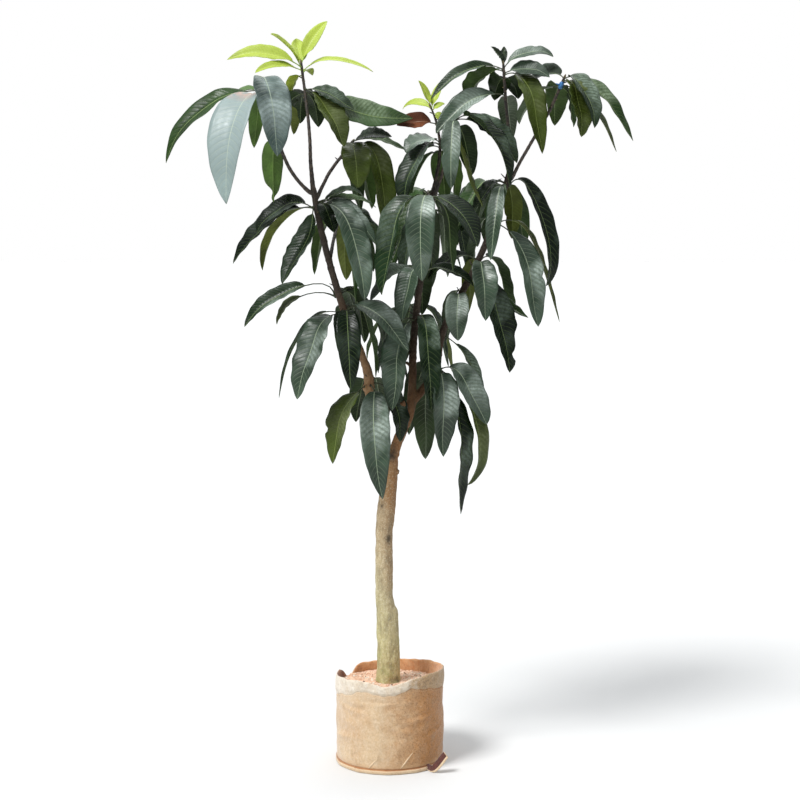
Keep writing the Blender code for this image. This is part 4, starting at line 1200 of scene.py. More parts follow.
def make_leaves(leaves, boughs, twigs):
    """One piece for each tint of leaf and one for the petioles."""
    rng = random.Random(LEAF_SEED)
    blades = {tint: [] for tint in TINTS}
    petioles = {"petioles": Joined(), "petioles_young": Joined()}
    owners = {tint: set() for tint in TINTS}
    for mass in MASSES:
        for row, root, leaf, number in leaves[mass.name]:
            key = (mass.name, row, number)
            tint = tint_of(*key, rng)
            bites = BITTEN.get(key, ())
            if not bites and rng.random() < BITE_CHANCE:
                side, place = rng.choice((1, -1)), rng.uniform(*BITE_PLACE)
                bites = ((side, place, rng.uniform(*BITE_HALF_LENGTH), rng.uniform(*BITE_DEPTH)),)
            bow, bulge = BOWED.get(key, (rng.uniform(*BEND), 0.0))
            bites = () if tint in WHOLE else bites
            blades[tint].append(blade_shape(root, leaf, rng, bites, bow, bulge, CALM.get(tint, 1.0)))
            owners[tint].add(mass.name)
            anchor = anchor_of(twigs[mass.name] or boughs[mass.bough], root)
            carrier = petioles["petioles_young" if tint == "flush" else "petioles"]
            carrier.add_round(petiole_stations(root, leaf, anchor), PETIOLE_SIDES)
    for tint, found in blades.items():
        piece = joined_blades(found).make(f"leaves_{tint}", blade_finishes(tint))
        finished(piece, "foliage", *sorted(owners[tint]))
    for name, material, base in (
        ("petioles", "petiole_green", (0.055, 0.070, 0.028)),
        ("petioles_young", "petiole_young", (0.42, 0.60, 0.10)),
    ):
        skin = mottled(material, base, 0.5, (55,), 0.4, 0.7, base, tinted(base, 0.45))
        finished(petioles[name].make(name, (skin.done(),)), "foliage")


# ---- Twigs, bark ----

SCAR_SEED, TWIG_SEED = 5, 23
BARK_VOXEL = 0.0017
TRUNK_ROUND, BOUGH_ROUND, KNOB_ROUND, TWIG_ROUND = 96, 36, 20, 12      # points round each
WOOD_SPANS, TWIG_SPANS, TAB_SPANS = 8, 6, 10      # steps from knot to knot of their curves
WOOD_STEP = 0.003             # from ring to ring of the trunk and boughs
TWIG_STEP = 0.004
TIE_START, TIE_LENGTH = 0.032, 0.020      # the blue tape near the outer shoot's tip, counted back from it
TIE_SWELL = (0.0008, 0.0022, 0.0026, 0.0020, 0.0028, 0.0022, 0.0008)
TIE_TAIL = (-0.014, -0.008, 0.004)        # its loose end
GRAFT_HEIGHT = 0.432          # where the trunk steps in at the old graft
GRAFT_SOFTNESS, GRAFT_STEP = 0.008, 0.02        # height the step takes, share of the radius it makes
GRAFT_LIP = (0.016, 0.014, 0.040)         # how far below, half its height, share it stands out
TRUNK_LUMPS = 0.012           # share of the radius
SCARS_APART, SCAR_SWELL = (0.016, 0.038), (0.04, 0.12)      # ranges, in metres and of the radius
# Bodies that swell the trunk and boughs: (x, y, z, radius)
KNOBS = (
    (0.0205, -0.006, 0.815, 0.0085), (0.026, -0.003, 0.817, 0.0045), (0.004, -0.016, 0.856, 0.0120),
    (0.014, 0.004, 0.864, 0.0150), (-0.010, 0.004, 0.858, 0.0150), (0.005, 0.010, 0.862, 0.0150),
    (-0.056, -0.016, 1.050, 0.0165), (-0.052, -0.014, 1.034, 0.0150),
)
# Cut stubs and dead spurs: (start, end, radius)
STUBS = (
    ((0.046, 0.002, 0.975), (0.034, -0.020, 1.012), 0.0085),
    ((0.100, 0.022, 1.050), (0.118, 0.004, 1.062), 0.0050),
    ((-0.040, -0.006, 0.985), (-0.058, -0.014, 1.002), 0.0050),
    ((0.060, 0.018, 1.105), (0.047, 0.004, 1.118), 0.0042),
)
# Dark places on the bark: (x, y, z, width, height, strength)
STAINS = (
    (-0.0206, -0.0206, 0.722, 0.0036, 0.0045, 1.0), (-0.001, -0.018, 0.629, 0.0085, 0.0110, 0.9),
    (0.004, -0.024, 0.862, 0.0130, 0.0150, 1.0), (0.012, -0.020, 0.878, 0.0100, 0.0160, 0.8),
    (0.031, -0.008, 0.815, 0.0045, 0.0050, 0.8), (0.002, -0.030, 0.405, 0.0050, 0.0040, 0.5),
    (0.024, -0.026, 0.232, 0.0120, 0.0100, 0.6), (0.030, -0.022, 1.015, 0.0050, 0.0050, 0.5),
    (-0.012, -0.026, 0.500, 0.0030, 0.0030, 0.4), (0.010, -0.030, 0.345, 0.0030, 0.0030, 0.4),
)
# The bark's colour up the tree: (share of the way from 0.2 to 1.7 m, colour)
BARK_TONES = (
    (0.00, (0.54, 0.49, 0.245)), (0.08, (0.55, 0.50, 0.265)), (0.145, (0.51, 0.450, 0.270)),
    (0.22, (0.51, 0.405, 0.250)), (0.31, (0.48, 0.355, 0.215)), (0.37, (0.42, 0.255, 0.120)),
    (0.46, (0.42, 0.240, 0.115)), (0.56, (0.20, 0.115, 0.060)), (0.66, (0.055, 0.038, 0.029)),
    (1.00, (0.032, 0.025, 0.022)),
)
# A bud of overlapping scales: (share of its length, share of its radius)
BUD_OUTLINE = (
    (-0.15, 0.55), (0.0, 0.85), (0.16, 1.0), (0.30, 0.86), (0.34, 0.94), (0.50, 0.72), (0.55, 0.78),
    (0.72, 0.45), (0.88, 0.22), (1.0, 0.04),
)
TIP_BUD = (0.011, 0.0034)     # length and radius of the bud at a twig's tip
BUD_SIDES, STUB_SIDES = 8, 7
# Spots for stubs and side buds: how many, how far back from the tip the first, and how far apart
TWIG_SPOTS = (9, 0.02, 0.011)
BOUGH_SPOTS = (8, 0.006)      # on a bough, from below the collar: how many, and how far apart
STUB_CHANCE = 0.35            # that a spot has the stub of a petiole; the others have a bud
STUB_LENGTH = (0.006, 0.020)
SIDE_BUD = ((0.003, 0.0055), (0.0016, 0.0024))      # ranges of its length and radius


def trunk_relief(share, angle):
    """Root lobes at the soil, and the step at the graft: wider to the right below it."""
    height = SOIL_TOP + share * (TRUNK_KNOTS[-1][2] - SOIL_TOP)
    fade = np.clip(1 - (height - SOIL_TOP) / ROOT_FLARE_HEIGHT, 0, 1)
    lobes = ROOT_FLARE * fade ** 2 * np.cos(ROOT_LOBES * angle + LOBE_TURN)
    below = 1 / (1 + np.exp((height - GRAFT_HEIGHT) / GRAFT_SOFTNESS))
    under, half_high, out = GRAFT_LIP
    lip = bump_at(height, GRAFT_HEIGHT - under, half_high)
    right = -np.cos(angle)
    step = right * GRAFT_STEP * (below - 0.5) + lip * np.clip(right, 0, 1) * out
    return 1 + lobes + step + TRUNK_LUMPS * np.sin(3 * angle + height * 40)


def add_knob(joined, x, y, z, radius):
    around = np.linspace(0.02, math.pi - 0.02, 13)
    joined.add_round([(x, y, z - radius * math.cos(a), radius * math.sin(a)) for a in around], KNOB_ROUND)


def leaf_scars(boughs):
    """Swollen rings along the boughs, where earlier flushes of leaves stood."""
    rng = random.Random(SCAR_SEED)
    for limb in boughs.values():
        height = limb.centres[2].z
        while height < limb.centres[-1].z - 0.02:
            height += rng.uniform(*SCARS_APART)
            if height < limb.centres[-1].z - 0.01:
                centre, radius, _ = limb.at(limb.station(height))
                yield centre, radius, rng.uniform(*SCAR_SWELL)


def make_bark(boughs):
    """The trunk and its boughs as one skin, with fissures, pits and stains."""
    joined = Joined()
    joined.add_round(finer(smooth_curve(TRUNK_KNOTS, WOOD_SPANS), WOOD_STEP), TRUNK_ROUND, trunk_relief)
    for knots in BOUGH_KNOTS.values():
        joined.add_round(finer(smooth_curve(knots, WOOD_SPANS), WOOD_STEP), BOUGH_ROUND)
    for knob in KNOBS:
        add_knob(joined, *knob)
    for start, end, radius in STUBS:
        joined.add_round([(*start, radius * 1.15), (*end, radius)], KNOB_ROUND)
    for centre, radius, swell in leaf_scars(boughs):
        add_knob(joined, *centre, radius * (1 + swell))
    rough = joined.make("bark_core", ())
    remesh = rough.modifiers.new("Skin", "REMESH")
    remesh.mode = "VOXEL"
    remesh.voxel_size = BARK_VOXEL
    smooth = rough.modifiers.new("Smooth", "SMOOTH")
    smooth.factor, smooth.iterations = 0.5, 4
    mesh = plain_mesh(rough, "bark")
    carve_bark(mesh)
    bark = put("bark", mesh)
    mesh.materials.append(bark_finish())
    face_outwards(mesh)
    finished(bark, "trunk_bark", "trunk", "left_bough", "middle_bough", "right_bough")


def carve_bark(mesh):
    points, normals = read_points(mesh), read_points(mesh, "normal")
    drawn = points * (1, 1, 0.35)
    lift = 0.0011 * grain(drawn, 0.012, 3) + 0.00055 * grain(drawn, 0.0045, 9)
    lift += 0.0009 * grain(points, 0.030, 21)
    fissure = np.abs(grain(points * (1, 1, 0.16), 0.0042, 31))
    low = np.clip((0.60 - points[:, 2]) / 0.35, 0.15, 1)
    lift -= 0.0006 * low * np.clip(1 - fissure / 0.22, 0, 1)
    thin = np.clip((points[:, 2] - 0.90) / 0.3, 0, 1)
    lift *= 1 - 0.55 * thin
    stain = np.zeros(len(points))
    ragged = 0.8 + 0.5 * grain(points, 0.004, 55)
    for x, y, z, width, height, strength in STAINS:
        near = ((points[:, 0] - x) ** 2 + (points[:, 1] - y) ** 2) / width ** 2
        near = near + ((points[:, 2] - z) / height) ** 2
        stain = np.maximum(stain, strength * np.exp(-near * ragged))
    lift -= 0.0016 * stain
    points += normals * lift[:, None]
    points[:, 2] = np.maximum(points[:, 2], SOIL_TOP - 0.004)
    mesh.vertices.foreach_set("co", points.ravel().astype(np.float32))
    keep_number(mesh, "stain", stain)
    keep_number(mesh, "pit", np.clip(-lift / 0.0022, 0, 1))


def bark_finish():
    """Green-grey at the soil, pale grey-tan above the graft, tan at the fork, brown boughs, with painted
    shade darkening the right side.
    """
    bark = Finish("bark", (0.45, 0.38, 0.28), 0.82)
    right, _, up = bark.split(bark.place())
    wander = bark.math("MULTIPLY_ADD", bark.noise(16, 3), 0.10, -0.05)
    lag = bark.math("MAXIMUM", bark.math("MINIMUM", bark.times(right, 2.2), 0.0), -0.14)
    height = bark.span(bark.math("ADD", bark.math("ADD", up, lag), wander), 0.2, 1.7)
    bark.tone = bark.ramp(height, BARK_TONES)
    drawn = bark.noise(170, 6, 0.75, (1, 1, 0.6))
    bark.coat((0.56, 0.49, 0.36), bark.span(drawn, 0.42, 0.60, 0.0, 0.60), way="MULTIPLY")
    # painted shade: darker towards the right, the side away from the light
    right_painted_shade = bark.span(bark.math("ADD", right, bark.times(wander, 0.3)), -0.022, 0.016, 0.0, 0.75)
    bark.coat((0.62, 0.46, 0.30), right_painted_shade, bark.span(height, 0.12, 0.22, 0.25, 1.0), way="MULTIPLY")
    lichen = bark.patches((260, 4, 0.7), 0.52, 0.68, 0.0, 0.60)
    bark.coat((0.74, 0.69, 0.52), lichen, bark.span(height, 0.33, 0.50, 1.0, 0.10))
    moss = bark.patches((26, 4), 0.50, 0.66, 0.0, 0.45)
    bark.coat((0.33, 0.36, 0.13), moss, bark.span(height, 0.03, 0.16, 1.0, 0.0))
    specks = bark.span(bark.cells(260, (1, 1, 0.6)), 0.10, 0.26, 1.0, 0.0)
    specks = bark.times(specks, bark.patches((33, 2), 0.46, 0.60, 0.0, 0.75))
    bark.coat((0.16, 0.115, 0.07), specks)
    # painted shade: darker where the bark is sunk in, in its pits and fissures
    bark.coat((0.13, 0.10, 0.055), bark.part_of("pit"), 0.55)
    bark.coat((0.030, 0.022, 0.013), bark.part_of("stain"), 0.92)
    bark.gloss(bark.span(drawn, 0.3, 0.7, 0.70, 0.92))
    fine = bark.math("ADD", bark.noise(240, 6, 0.7, (1, 1, 0.5)), bark.times(specks, -0.5))
    bark.relief(fine, 0.55, 0.0014)
    return bark.done()


def twig_relief(share, angle):
    ring = np.sin(share * 60) ** 8
    return 1 + 0.10 * ring + 0.05 * np.sin(angle * 3 + share * 30)


def add_bud(joined, place, direction, length, radius):
    """A pointed bud of overlapping scales."""
    direction = direction.normalized()
    joined.add_round([(*(place + direction * length * s), radius * w) for s, w in BUD_OUTLINE], BUD_SIDES)


def twig_knots(mass, bough, twig):
    """The twig's knots, led on inside what carries it."""
    knots = [(*centre, radius * 1.02) for centre, radius in zip(twig.centres, twig.radii)]
    if mass.seat is None:
        below = bough.at(bough.from_tip(0.012))
        return [(*below[0], below[1] * 0.9), *knots]
    inner = bough.at(bough.station(mass.seat))[0]
    return [(*inner, knots[0][3] * 1.5), (*knots[0][:3], knots[0][3] * 1.3), *knots[1:]]


def make_twigs(boughs, twigs):
    """Every twig, with its rings, buds and the stubs of petioles that it has shed."""
    rng = random.Random(TWIG_SEED)
    joined, buds = Joined(), Joined()
    for mass in MASSES:
        twig, bough = twigs[mass.name], boughs[mass.bough]
        if twig:
            path = smooth_curve(twig_knots(mass, bough, twig), TWIG_SPANS)
            joined.add_round(finer(path, TWIG_STEP), TWIG_ROUND, twig_relief)
            add_bud(buds, twig.centres[-1], twig.directions[-1], *TIP_BUD)
            count, first, apart = TWIG_SPOTS
            limb, spots = twig, [twig.from_tip(first + apart * i) for i in range(count)]
        else:
            low, (count, apart) = mass.seat - WHORL_COLLAR, BOUGH_SPOTS
            limb, spots = bough, [bough.station(low + apart * i) for i in range(count)]
        turn = rng.uniform(0, 360)
        for station in spots:
            turn += GOLDEN_ANGLE
            centre, radius, along = limb.at(station)
            side = along.cross(Vector((0.3, 1, 0.1))).normalized()
            out = (Quaternion(along, math.radians(turn)) @ side + along * 0.6).normalized()
            if rng.random() < STUB_CHANCE:
                length = rng.uniform(*STUB_LENGTH)
                joined.add_round([
                    (*(centre + out * radius * 0.4), 0.0023),
                    (*(centre + out * (radius + length * 0.5)), 0.0015),
                    (*(centre + out * (radius + length)), 0.0011),
                ], STUB_SIDES)
            else:
                length, thick = (rng.uniform(*limits) for limits in SIDE_BUD)
                add_bud(buds, centre + out * radius * 0.8, out, length, thick)
    bark = mottled("twig_bark", (0.030, 0.024, 0.020), 0.6, (120, 4), 0.42, 0.66,
                   (0.018, 0.014, 0.012), (0.085, 0.062, 0.042))
    bark.relief(bark.noise(420, 4), 0.5, 0.0008)
    finished(joined.make("twigs", (bark.done(),)), "bough_bark", *(mass.name for mass in MASSES))
    scales = mottled("bud_scales", (0.10, 0.075, 0.035), 0.55, (300, 3), 0.4, 0.65,
                     (0.060, 0.038, 0.018), (0.20, 0.16, 0.06))
    finished(buds.make("buds", (scales.done(),)), "bough_bark")


def make_tie(twig):
    """A scrap of blue tape wound round a twig, with a loose end."""
    shares = np.linspace(0, 1, len(TIE_SWELL))
    wound = [twig.at(twig.from_tip(TIE_START - TIE_LENGTH * share)) for share in shares]
    middle = wound[len(wound) // 2][0]
    band = [(*centre, radius + more) for (centre, radius, _), more in zip(wound, TIE_SWELL)]
    tail = [(*(middle + Vector(TIE_TAIL) * share), 0.0024 - 0.0012 * share) for share in (0.1, 0.5, 1.0)]
    tie = Joined()
    for rows in (band, tail):
        tie.add_round(rows, TWIG_ROUND, twig_relief)
    tape = mottled("tie_blue", (0.020, 0.150, 0.420), 0.5, (260, 3), 0.4, 0.6,
                   (0.012, 0.090, 0.300), (0.060, 0.240, 0.520))
    finished(tie.make("blue_tie", (tape.done(),)), "bough_bark")


# ---- Grow bag ----

AROUND = 300                  # points round the bag
AXIS = 0.0005                 # radius of the ring that ends a turned body at its axis
WALL_IN = 0.0006              # how far inside the bag's radius its wall starts
TURN_OVER = 0.004             # depth of the cuff's turn over the rim
FOOT = 0.020                  # height at which the free wall starts
WALL_ROWS, CUFF_ROWS, INSIDE_ROWS = 58, 16, 10
FELT_PITCH = 0.0065           # from stitch to stitch
STITCH_POINTS = 360           # of the line that the stitches follow
STITCH_SIDES = 6
STITCH_OUTLINE = (            # (place along the stitch, radius)
    (-0.0024, 0.0002), (-0.0020, 0.00045), (-0.0008, 0.0006), (0.0008, 0.0006), (0.0020, 0.00045),
    (0.0024, 0.0002),
)
TAB_SIDES = 20
TAB_HALF_THICK = 0.0042       # of the loose seam end, where it starts
INNER_DEPTH = 0.196           # height at which the bag's inside goes under the soil
PUFF_PLACE = 0.15             # radius at which the noise of cuff and inside is read
# Creases in the wall: (angle, height, half length round, half height, depth, slope of the crease)
CREASES = (
    (-1.78, 0.050, 0.030, 0.0040, 0.0032, 3.2), (-1.40, 0.052, 0.032, 0.0042, 0.0034, 3.4),
    (-0.95, 0.150, 0.30, 0.006, 0.0022, 0.14), (-2.30, 0.170, 0.34, 0.006, 0.0018, -0.10),
    (-1.60, 0.196, 0.50, 0.004, 0.0014, 0.05), (-0.55, 0.105, 0.26, 0.007, 0.0024, 0.22),
    (-1.20, 0.115, 0.22, 0.008, 0.0020, -0.16), (-2.60, 0.090, 0.28, 0.008, 0.0022, 0.12),
    (0.30, 0.140, 0.35, 0.008, 0.0024, -0.12), (1.20, 0.110, 0.40, 0.008, 0.0022, 0.10),
    (2.10, 0.150, 0.34, 0.007, 0.0022, -0.14), (2.80, 0.080, 0.26, 0.007, 0.0020, 0.16),
)
PUCKER_ROWS, PUCKER_SIDES = 14, 10
# Narrow folds that run up from the base seam: their two ends as (angle, height)
PUCKERS = (((-1.357, 0.017), (-1.121, 0.060)), ((-1.962, 0.016), (-1.821, 0.040)))

# The bag's finishes: (base, shade, pale), and for those painted darker towards one side as shade (that darker
# tone, from and to which x it comes in, tone of the hem, between which heights the shade of the foot fades
# out)
FELTS = {
    "felt_wall": (((0.68, 0.49, 0.29), (0.57, 0.35, 0.18), (0.78, 0.64, 0.46)),
                  ((0.43, 0.18, 0.04), (-0.02, 0.11), (0.74, 0.60, 0.43), (0.016, 0.028))),
    "felt_seam": (((0.45, 0.20, 0.075), (0.36, 0.14, 0.05), (0.55, 0.30, 0.14)), None),
    "felt_cuff": (((0.79, 0.71, 0.58), (0.62, 0.48, 0.33), (0.92, 0.88, 0.80)),
                  ((0.42, 0.26, 0.12), (0.045, 0.085), (0.75, 0.62, 0.46), (0.180, 0.185))),
    "felt_lip": (((0.70, 0.52, 0.33), (0.62, 0.42, 0.24), (0.82, 0.68, 0.48)), None),
    "felt_inside": (((0.66, 0.33, 0.14), (0.50, 0.19, 0.06), (0.80, 0.52, 0.30)),
                    ((0.17, 0.045, 0.020), (-0.090, -0.145), None, (0.016, 0.028))),
    # painted shadow on the tab's face towards the bag
    "felt_tab_under": (((0.085, 0.018, 0.010), (0.03, 0.007, 0.005), (0.16, 0.035, 0.020)), None),
}
WALL, SEAM, CUFF, LIP, INSIDE, TAB_SHADOW = range(len(FELTS))


def on_circle(angle, radius, height):
    return Vector((radius * math.cos(angle), radius * math.sin(angle), height))


def rim_height(angle):
    """The rim sags in two places and stands higher at the right and the front."""
    height = BAG_HEIGHT + RIM_TILT * (math.cos(angle) - math.sin(angle))
    for middle, width, depth in RIM_DIPS:
        height -= depth * math.exp(-(math.remainder(angle - middle, math.tau) / width) ** 2)
    ragged = 0.0008 * math.sin(angle * 9 + 1) + 0.0007 * math.sin(angle * 17 + 2)
    ragged += 0.0005 * math.sin(angle * 31)
    return height - 0.002 + ragged


def bag_radius(angle):
    return BAG_RADIUS + BAG_WAVE * math.cos(3 * angle + 1)


def lip_reach(angle):
    """How far the sewn lip stands out from the wall, a little wavy."""
    return BASE_LIP - 0.0004 + 0.0009 * math.sin(angle * 11) + 0.0005 * math.sin(angle * 23 + 1)


def cuff_drop(angle):
    """How far the turned-down cuff reaches below the rim: least at the front."""
    front = 0.5 - 0.5 * math.sin(angle)
    depth = 0.060 - 0.036 * front ** 3 + 0.0020 * math.sin(angle * 7)
    return depth + 0.0016 * math.sin(angle * 13 + 1) + 0.0008 * math.sin(angle * 29)


def wall_push(angle, height, radius):
    """How far the wall stands out or in at a place: sag, creases and felt lumps."""
    place = on_circle(angle, radius, height)
    free = min(1.0, max(0.0, (height - 0.016) / 0.02))
    push = 0.0026 * noise.noise(place / 0.045) + 0.0013 * noise.noise(place / 0.018 + Vector((5, 0, 0)))
    push += 0.0005 * noise.noise(place / 0.006)
    push += 0.0016 * math.sin(math.pi * min(1.0, height / 0.2))
    for middle, level, long, high, depth, slope in CREASES:
        turn = math.remainder(angle - middle, math.tau)
        off = (height - level - slope * turn * 0.15) / high
        if abs(turn) < long * 3 and abs(off) < 4:
            fold = math.exp(-(turn / long) ** 2)
            push += depth * fold * (math.exp(-off * off) - 0.8 * math.exp(-(off - 1.7) ** 2))
    return push * free


def bag_rows(angle):
    """(radius, height, finish) from the axis under the bag, out, up, over the rim and down inside."""
    top = rim_height(angle)
    cuff = top - cuff_drop(angle)
    radius = bag_radius(angle)
    lip = lip_reach(angle)
    rows = [
        (AXIS, 0.0015, WALL), (0.050, 0.0012, WALL), (0.110, 0.0008, WALL), (radius - 0.006, 0.0, WALL),
        (radius + lip - 0.0016, 0.0008, LIP), (radius + lip, 0.003, LIP), (radius + lip, 0.0085, LIP),
        (radius + lip - 0.0010, 0.0112, LIP), (radius - 0.0022, 0.0128, SEAM),
        (radius - 0.0024, 0.0148, SEAM), (radius - 0.0002, 0.0172, WALL),
    ]
    end = cuff - 0.0015
    for i in range(WALL_ROWS):
        height = FOOT + (end - FOOT) * i / (WALL_ROWS - 1)
        rows.append((radius - WALL_IN + wall_push(angle, height, radius), height, WALL))
    under = radius - WALL_IN + wall_push(angle, end, radius)
    rows += [(under - 0.0004, cuff - 0.0004, WALL), (under + CUFF_THICKNESS * 0.12, cuff - 0.0010, CUFF)]
    for i in range(CUFF_ROWS):
        share = i / (CUFF_ROWS - 1)
        height = cuff + (top - TURN_OVER - cuff) * share
        place = on_circle(angle, PUFF_PLACE, height)
        puff = 0.0016 * noise.noise(place / 0.014) + 0.0008 * noise.noise(place / 0.005)
        puff += 0.0010 * math.sin(math.pi * share) + CUFF_THICKNESS * 0.75
        puff *= min(1.0, 0.30 + 2.8 * share)            # thinner towards its lower edge
        push = wall_push(angle, min(height, end), radius) * (1 - share)
        rows.append((radius + puff + push, height, CUFF))
    inside = radius - BAG_WALL
    rows += [(radius + 0.0012, top - 0.0008, CUFF), (radius - 0.0015, top, CUFF),
             (inside + 0.0006, top - 0.0012, INSIDE)]
    for i in range(INSIDE_ROWS):
        share = i / (INSIDE_ROWS - 1)
        height = top - TURN_OVER - (top - TURN_OVER - INNER_DEPTH) * share
        lumps = 0.0014 * noise.noise(on_circle(angle, PUFF_PLACE, height) / 0.02)
        rows.append((inside - 0.0005 + lumps, height, INSIDE))
    return rows + [(inside - 0.02, INNER_DEPTH - 0.004, INSIDE), (AXIS, INNER_DEPTH - 0.004, INSIDE)]


def add_turned(joined, profiles):
    """A closed body from one profile of (radius, height, finish) for each angle."""
    around, count = len(profiles), len(profiles[0])
    angles = np.arange(around) * math.tau / around
    table = np.array(profiles)
    points = np.stack([
        table[:, :, 0] * np.cos(angles)[:, None], table[:, :, 0] * np.sin(angles)[:, None], table[:, :, 1],
    ], -1).transpose(1, 0, 2).reshape(-1, 3)
    ends = np.array([[0, 0, table[:, 0, 1].mean()], [0, 0, table[:, -1, 1].mean()]])
    quads, fans = ring_faces(count, around)
    kinds = np.repeat(table[0, 1:, 2], around).astype(int)
    fan_kinds = np.repeat([kinds[0], kinds[-1]], around)
    joined.add(np.concatenate([points, ends]), [(quads, kinds), (fans, fan_kinds)])


def felt_finish(name, tones, shade_and_hem):
    """Felt: broad dusty patches, matted fibres, a nap, and a darker tone towards one side that is painted
    shade.
    """
    base, shade, pale = tones
    side_shade, reach, hem, fade = shade_and_hem or (None,) * 4
    felt = Finish(name, base, 0.95, Sheen_Weight=0.35, Sheen_Roughness=0.5)
    felt.coat(shade, felt.patches((12, 4, 0.62, (1, 1, 0.55)), 0.40, 0.62), 0.75)
    felt.coat(pale, felt.patches((75, 6, 0.75, (1, 1, 0.7)), 0.38, 0.64), 0.55)
    felt.coat(tinted(shade, 0.55), felt.patches((420, 3, 0.7, (1, 1, 0.35), 0.6), 0.32, 0.70), 0.30)
    if hem:
        felt.coat(hem, felt.part_of("hem"), 0.75)
    if side_shade:
        # painted shade: the felt darkens towards the side away from the light, the right outside and the left
        # inside
        right, _, up = felt.split(felt.place())
        edge = felt.math("MULTIPLY_ADD", felt.noise(28, 4, 0.65), 0.12, -0.06)
        share = felt.span(felt.math("ADD", right, edge), *reach, 0.0, 0.92)
        felt.coat(side_shade, share)
        # dark flecks, more of them where the painted shade is
        flecks = felt.patches((190, 5, 0.8), 0.50, 0.62)
        felt.coat(tinted(side_shade, 0.50), flecks, felt.math("MULTIPLY_ADD", share, 0.72, 0.18))
        lint = felt.patches((150, 4, 0.8), 0.56, 0.66)
        felt.coat(pale, lint, felt.math("MULTIPLY_ADD", share, -0.30, 0.45))
        # painted shade at the foot: darker below the fade heights
        felt.coat(shade, felt.span(felt.math("ADD", up, felt.times(edge, 0.18)), *fade, 0.75, 0.0))
    felt.coat(tinted(shade, 0.62), felt.patches((30, 5, 0.7), 0.56, 0.72, 0.0, 0.50))
    nap = felt.math("ADD", felt.noise(520, 5, 0.75), felt.times(felt.noise(130, 4), 1.4))
    felt.relief(nap, 0.7, 0.0016)
    return felt.done()


def make_bag():
    joined = Joined()
    add_turned(joined, [bag_rows(math.tau * i / AROUND) for i in range(AROUND)])
    add_seam_tab(joined)
    for start, end in PUCKERS:
        add_pucker(joined, start, end)
    bag = joined.make("grow_bag_felt", [felt_finish(name, *tones) for name, tones in FELTS.items()])
    points = read_points(bag.data)
    edge = np.array([rim_height(turn) - cuff_drop(turn) for turn in np.arctan2(points[:, 1], points[:, 0])])
    away = np.abs(points[:, 2] - edge) / (0.009 * (1 + 0.6 * grain(points, 0.015, 61)))
    keep_number(bag.data, "hem", np.exp(-away))
    finished(bag, "bag_felt", "grow_bag")


def add_pucker(joined, start, end):
    """A narrow pale fold that runs up the wall from the base seam, half sunk in the felt."""
    rows = []
    for share in np.linspace(0, 1, PUCKER_ROWS):
        angle, height = between(start[0], end[0], share), between(start[1], end[1], share)
        reach = bag_radius(angle) - 0.0008 + wall_push(angle, height, bag_radius(angle))
        wide = 0.0019 * math.sin(math.pi * (0.12 + 0.85 * share)) + 0.0004
        rows.append((reach * math.cos(angle), reach * math.sin(angle), height, wide))
    joined.add_round(rows, PUCKER_SIDES, kind=LIP)


def add_seam_tab(joined):
    """The loose end of the base seam: a doubled strip of felt, turned up and out, with painted shadow on its
    side towards the bag.
    """
    knots = [Vector(knot[:3]) for knot in SEAM_TAB]
    start = knots[0] + (knots[0] - knots[1]) * 0.10
    stations = np.array([tuple(p) for p in smooth_curve([(*start, 0.006), *SEAM_TAB], TAB_SPANS)])
    centres = stations[:, :3]
    ahead = directions_along(centres)
    share = np.linspace(0, 1, len(stations))
    wide = np.cross(ahead, np.array([-0.75, -0.62, 0.20]))
    wide /= np.linalg.norm(wide, axis=1)[:, None]
    flat = np.cross(wide, ahead)
    angle = np.arange(TAB_SIDES) * math.tau / TAB_SIDES
    half_wide = (stations[:, 3] * (0.95 + 0.1 * np.sin(share * 9)))[:, None]
    half_flat = TAB_HALF_THICK * (1 - 0.35 * share[:, None])
    cosine = np.sign(np.cos(angle)) * np.abs(np.cos(angle)) ** 0.5
    points = (centres[:, None] + wide[:, None] * (half_wide * cosine)[..., None]
              + flat[:, None] * (half_flat * np.sin(angle))[..., None])
    points += 0.0008 * np.sin(points[..., :1] * 900) * flat[:, None]
    points[..., 2] = np.maximum(points[..., 2], 0.0006)
    quads, fans = ring_faces(len(stations), TAB_SIDES)
    column = np.tile(np.arange(TAB_SIDES), len(stations) - 1)
    # painted shadow on the faces turned towards the bag, the rest in the lip's felt
    kinds = np.where((column > 3) & (column < 11), TAB_SHADOW, LIP)
    points = np.concatenate([points.reshape(-1, 3), centres[:1], centres[-1:]])
    joined.add(points, [(quads, kinds), (fans, LIP)])


# ---- Soil ----

SOIL_ROUND = 180              # profiles of the soil's surface
SOIL_UNDER, SOIL_SIDE = 0.198, 0.203      # heights of its underside and of the foot of its edge
SOIL_RINGS = (0.006, 0.1425, 56)          # of its surface: first and last radius, and how many
PATCH_ROUND = 96              # lines of the patch that the crumbs lie on
PATCH_RINGS = (0.040, 0.138, 26)
CORE_X = -0.003               # middle of the trunk's foot
SUNLIT = (0.0, 0.09, 0.5)     # x from where the soil is paler, x where it is palest, and how much
# What lies on the soil: (name, how many to a square metre, least and most size, colour, seed)
CRUMBS = (
    ("clods", 9500, 0.0018, 0.0052, (0.78, 0.50, 0.35), 3),
    ("crumbs", 26000, 0.0008, 0.0022, (0.86, 0.62, 0.46), 5),
    ("pebbles", 2600, 0.0016, 0.0044, (0.80, 0.68, 0.58), 8),
    ("bark_bits", 1800, 0.0012, 0.0036, (0.10, 0.05, 0.03), 13),
)


def soil_height(x, y):
    place = Vector((x, y, 0.0))
    height = SOIL_TOP - 0.001 + 0.0045 * noise.noise(place / 0.030) + 0.0022 * noise.noise(place / 0.011)
    height += 0.0009 * noise.noise(place / 0.004)
    near = math.hypot(x - CORE_X, y)
    height += 0.004 * math.exp(-((near - 0.040) / 0.012) ** 2)
    return height - 0.004 * max(0.0, (math.hypot(x, y) - 0.11) / 0.035) ** 2


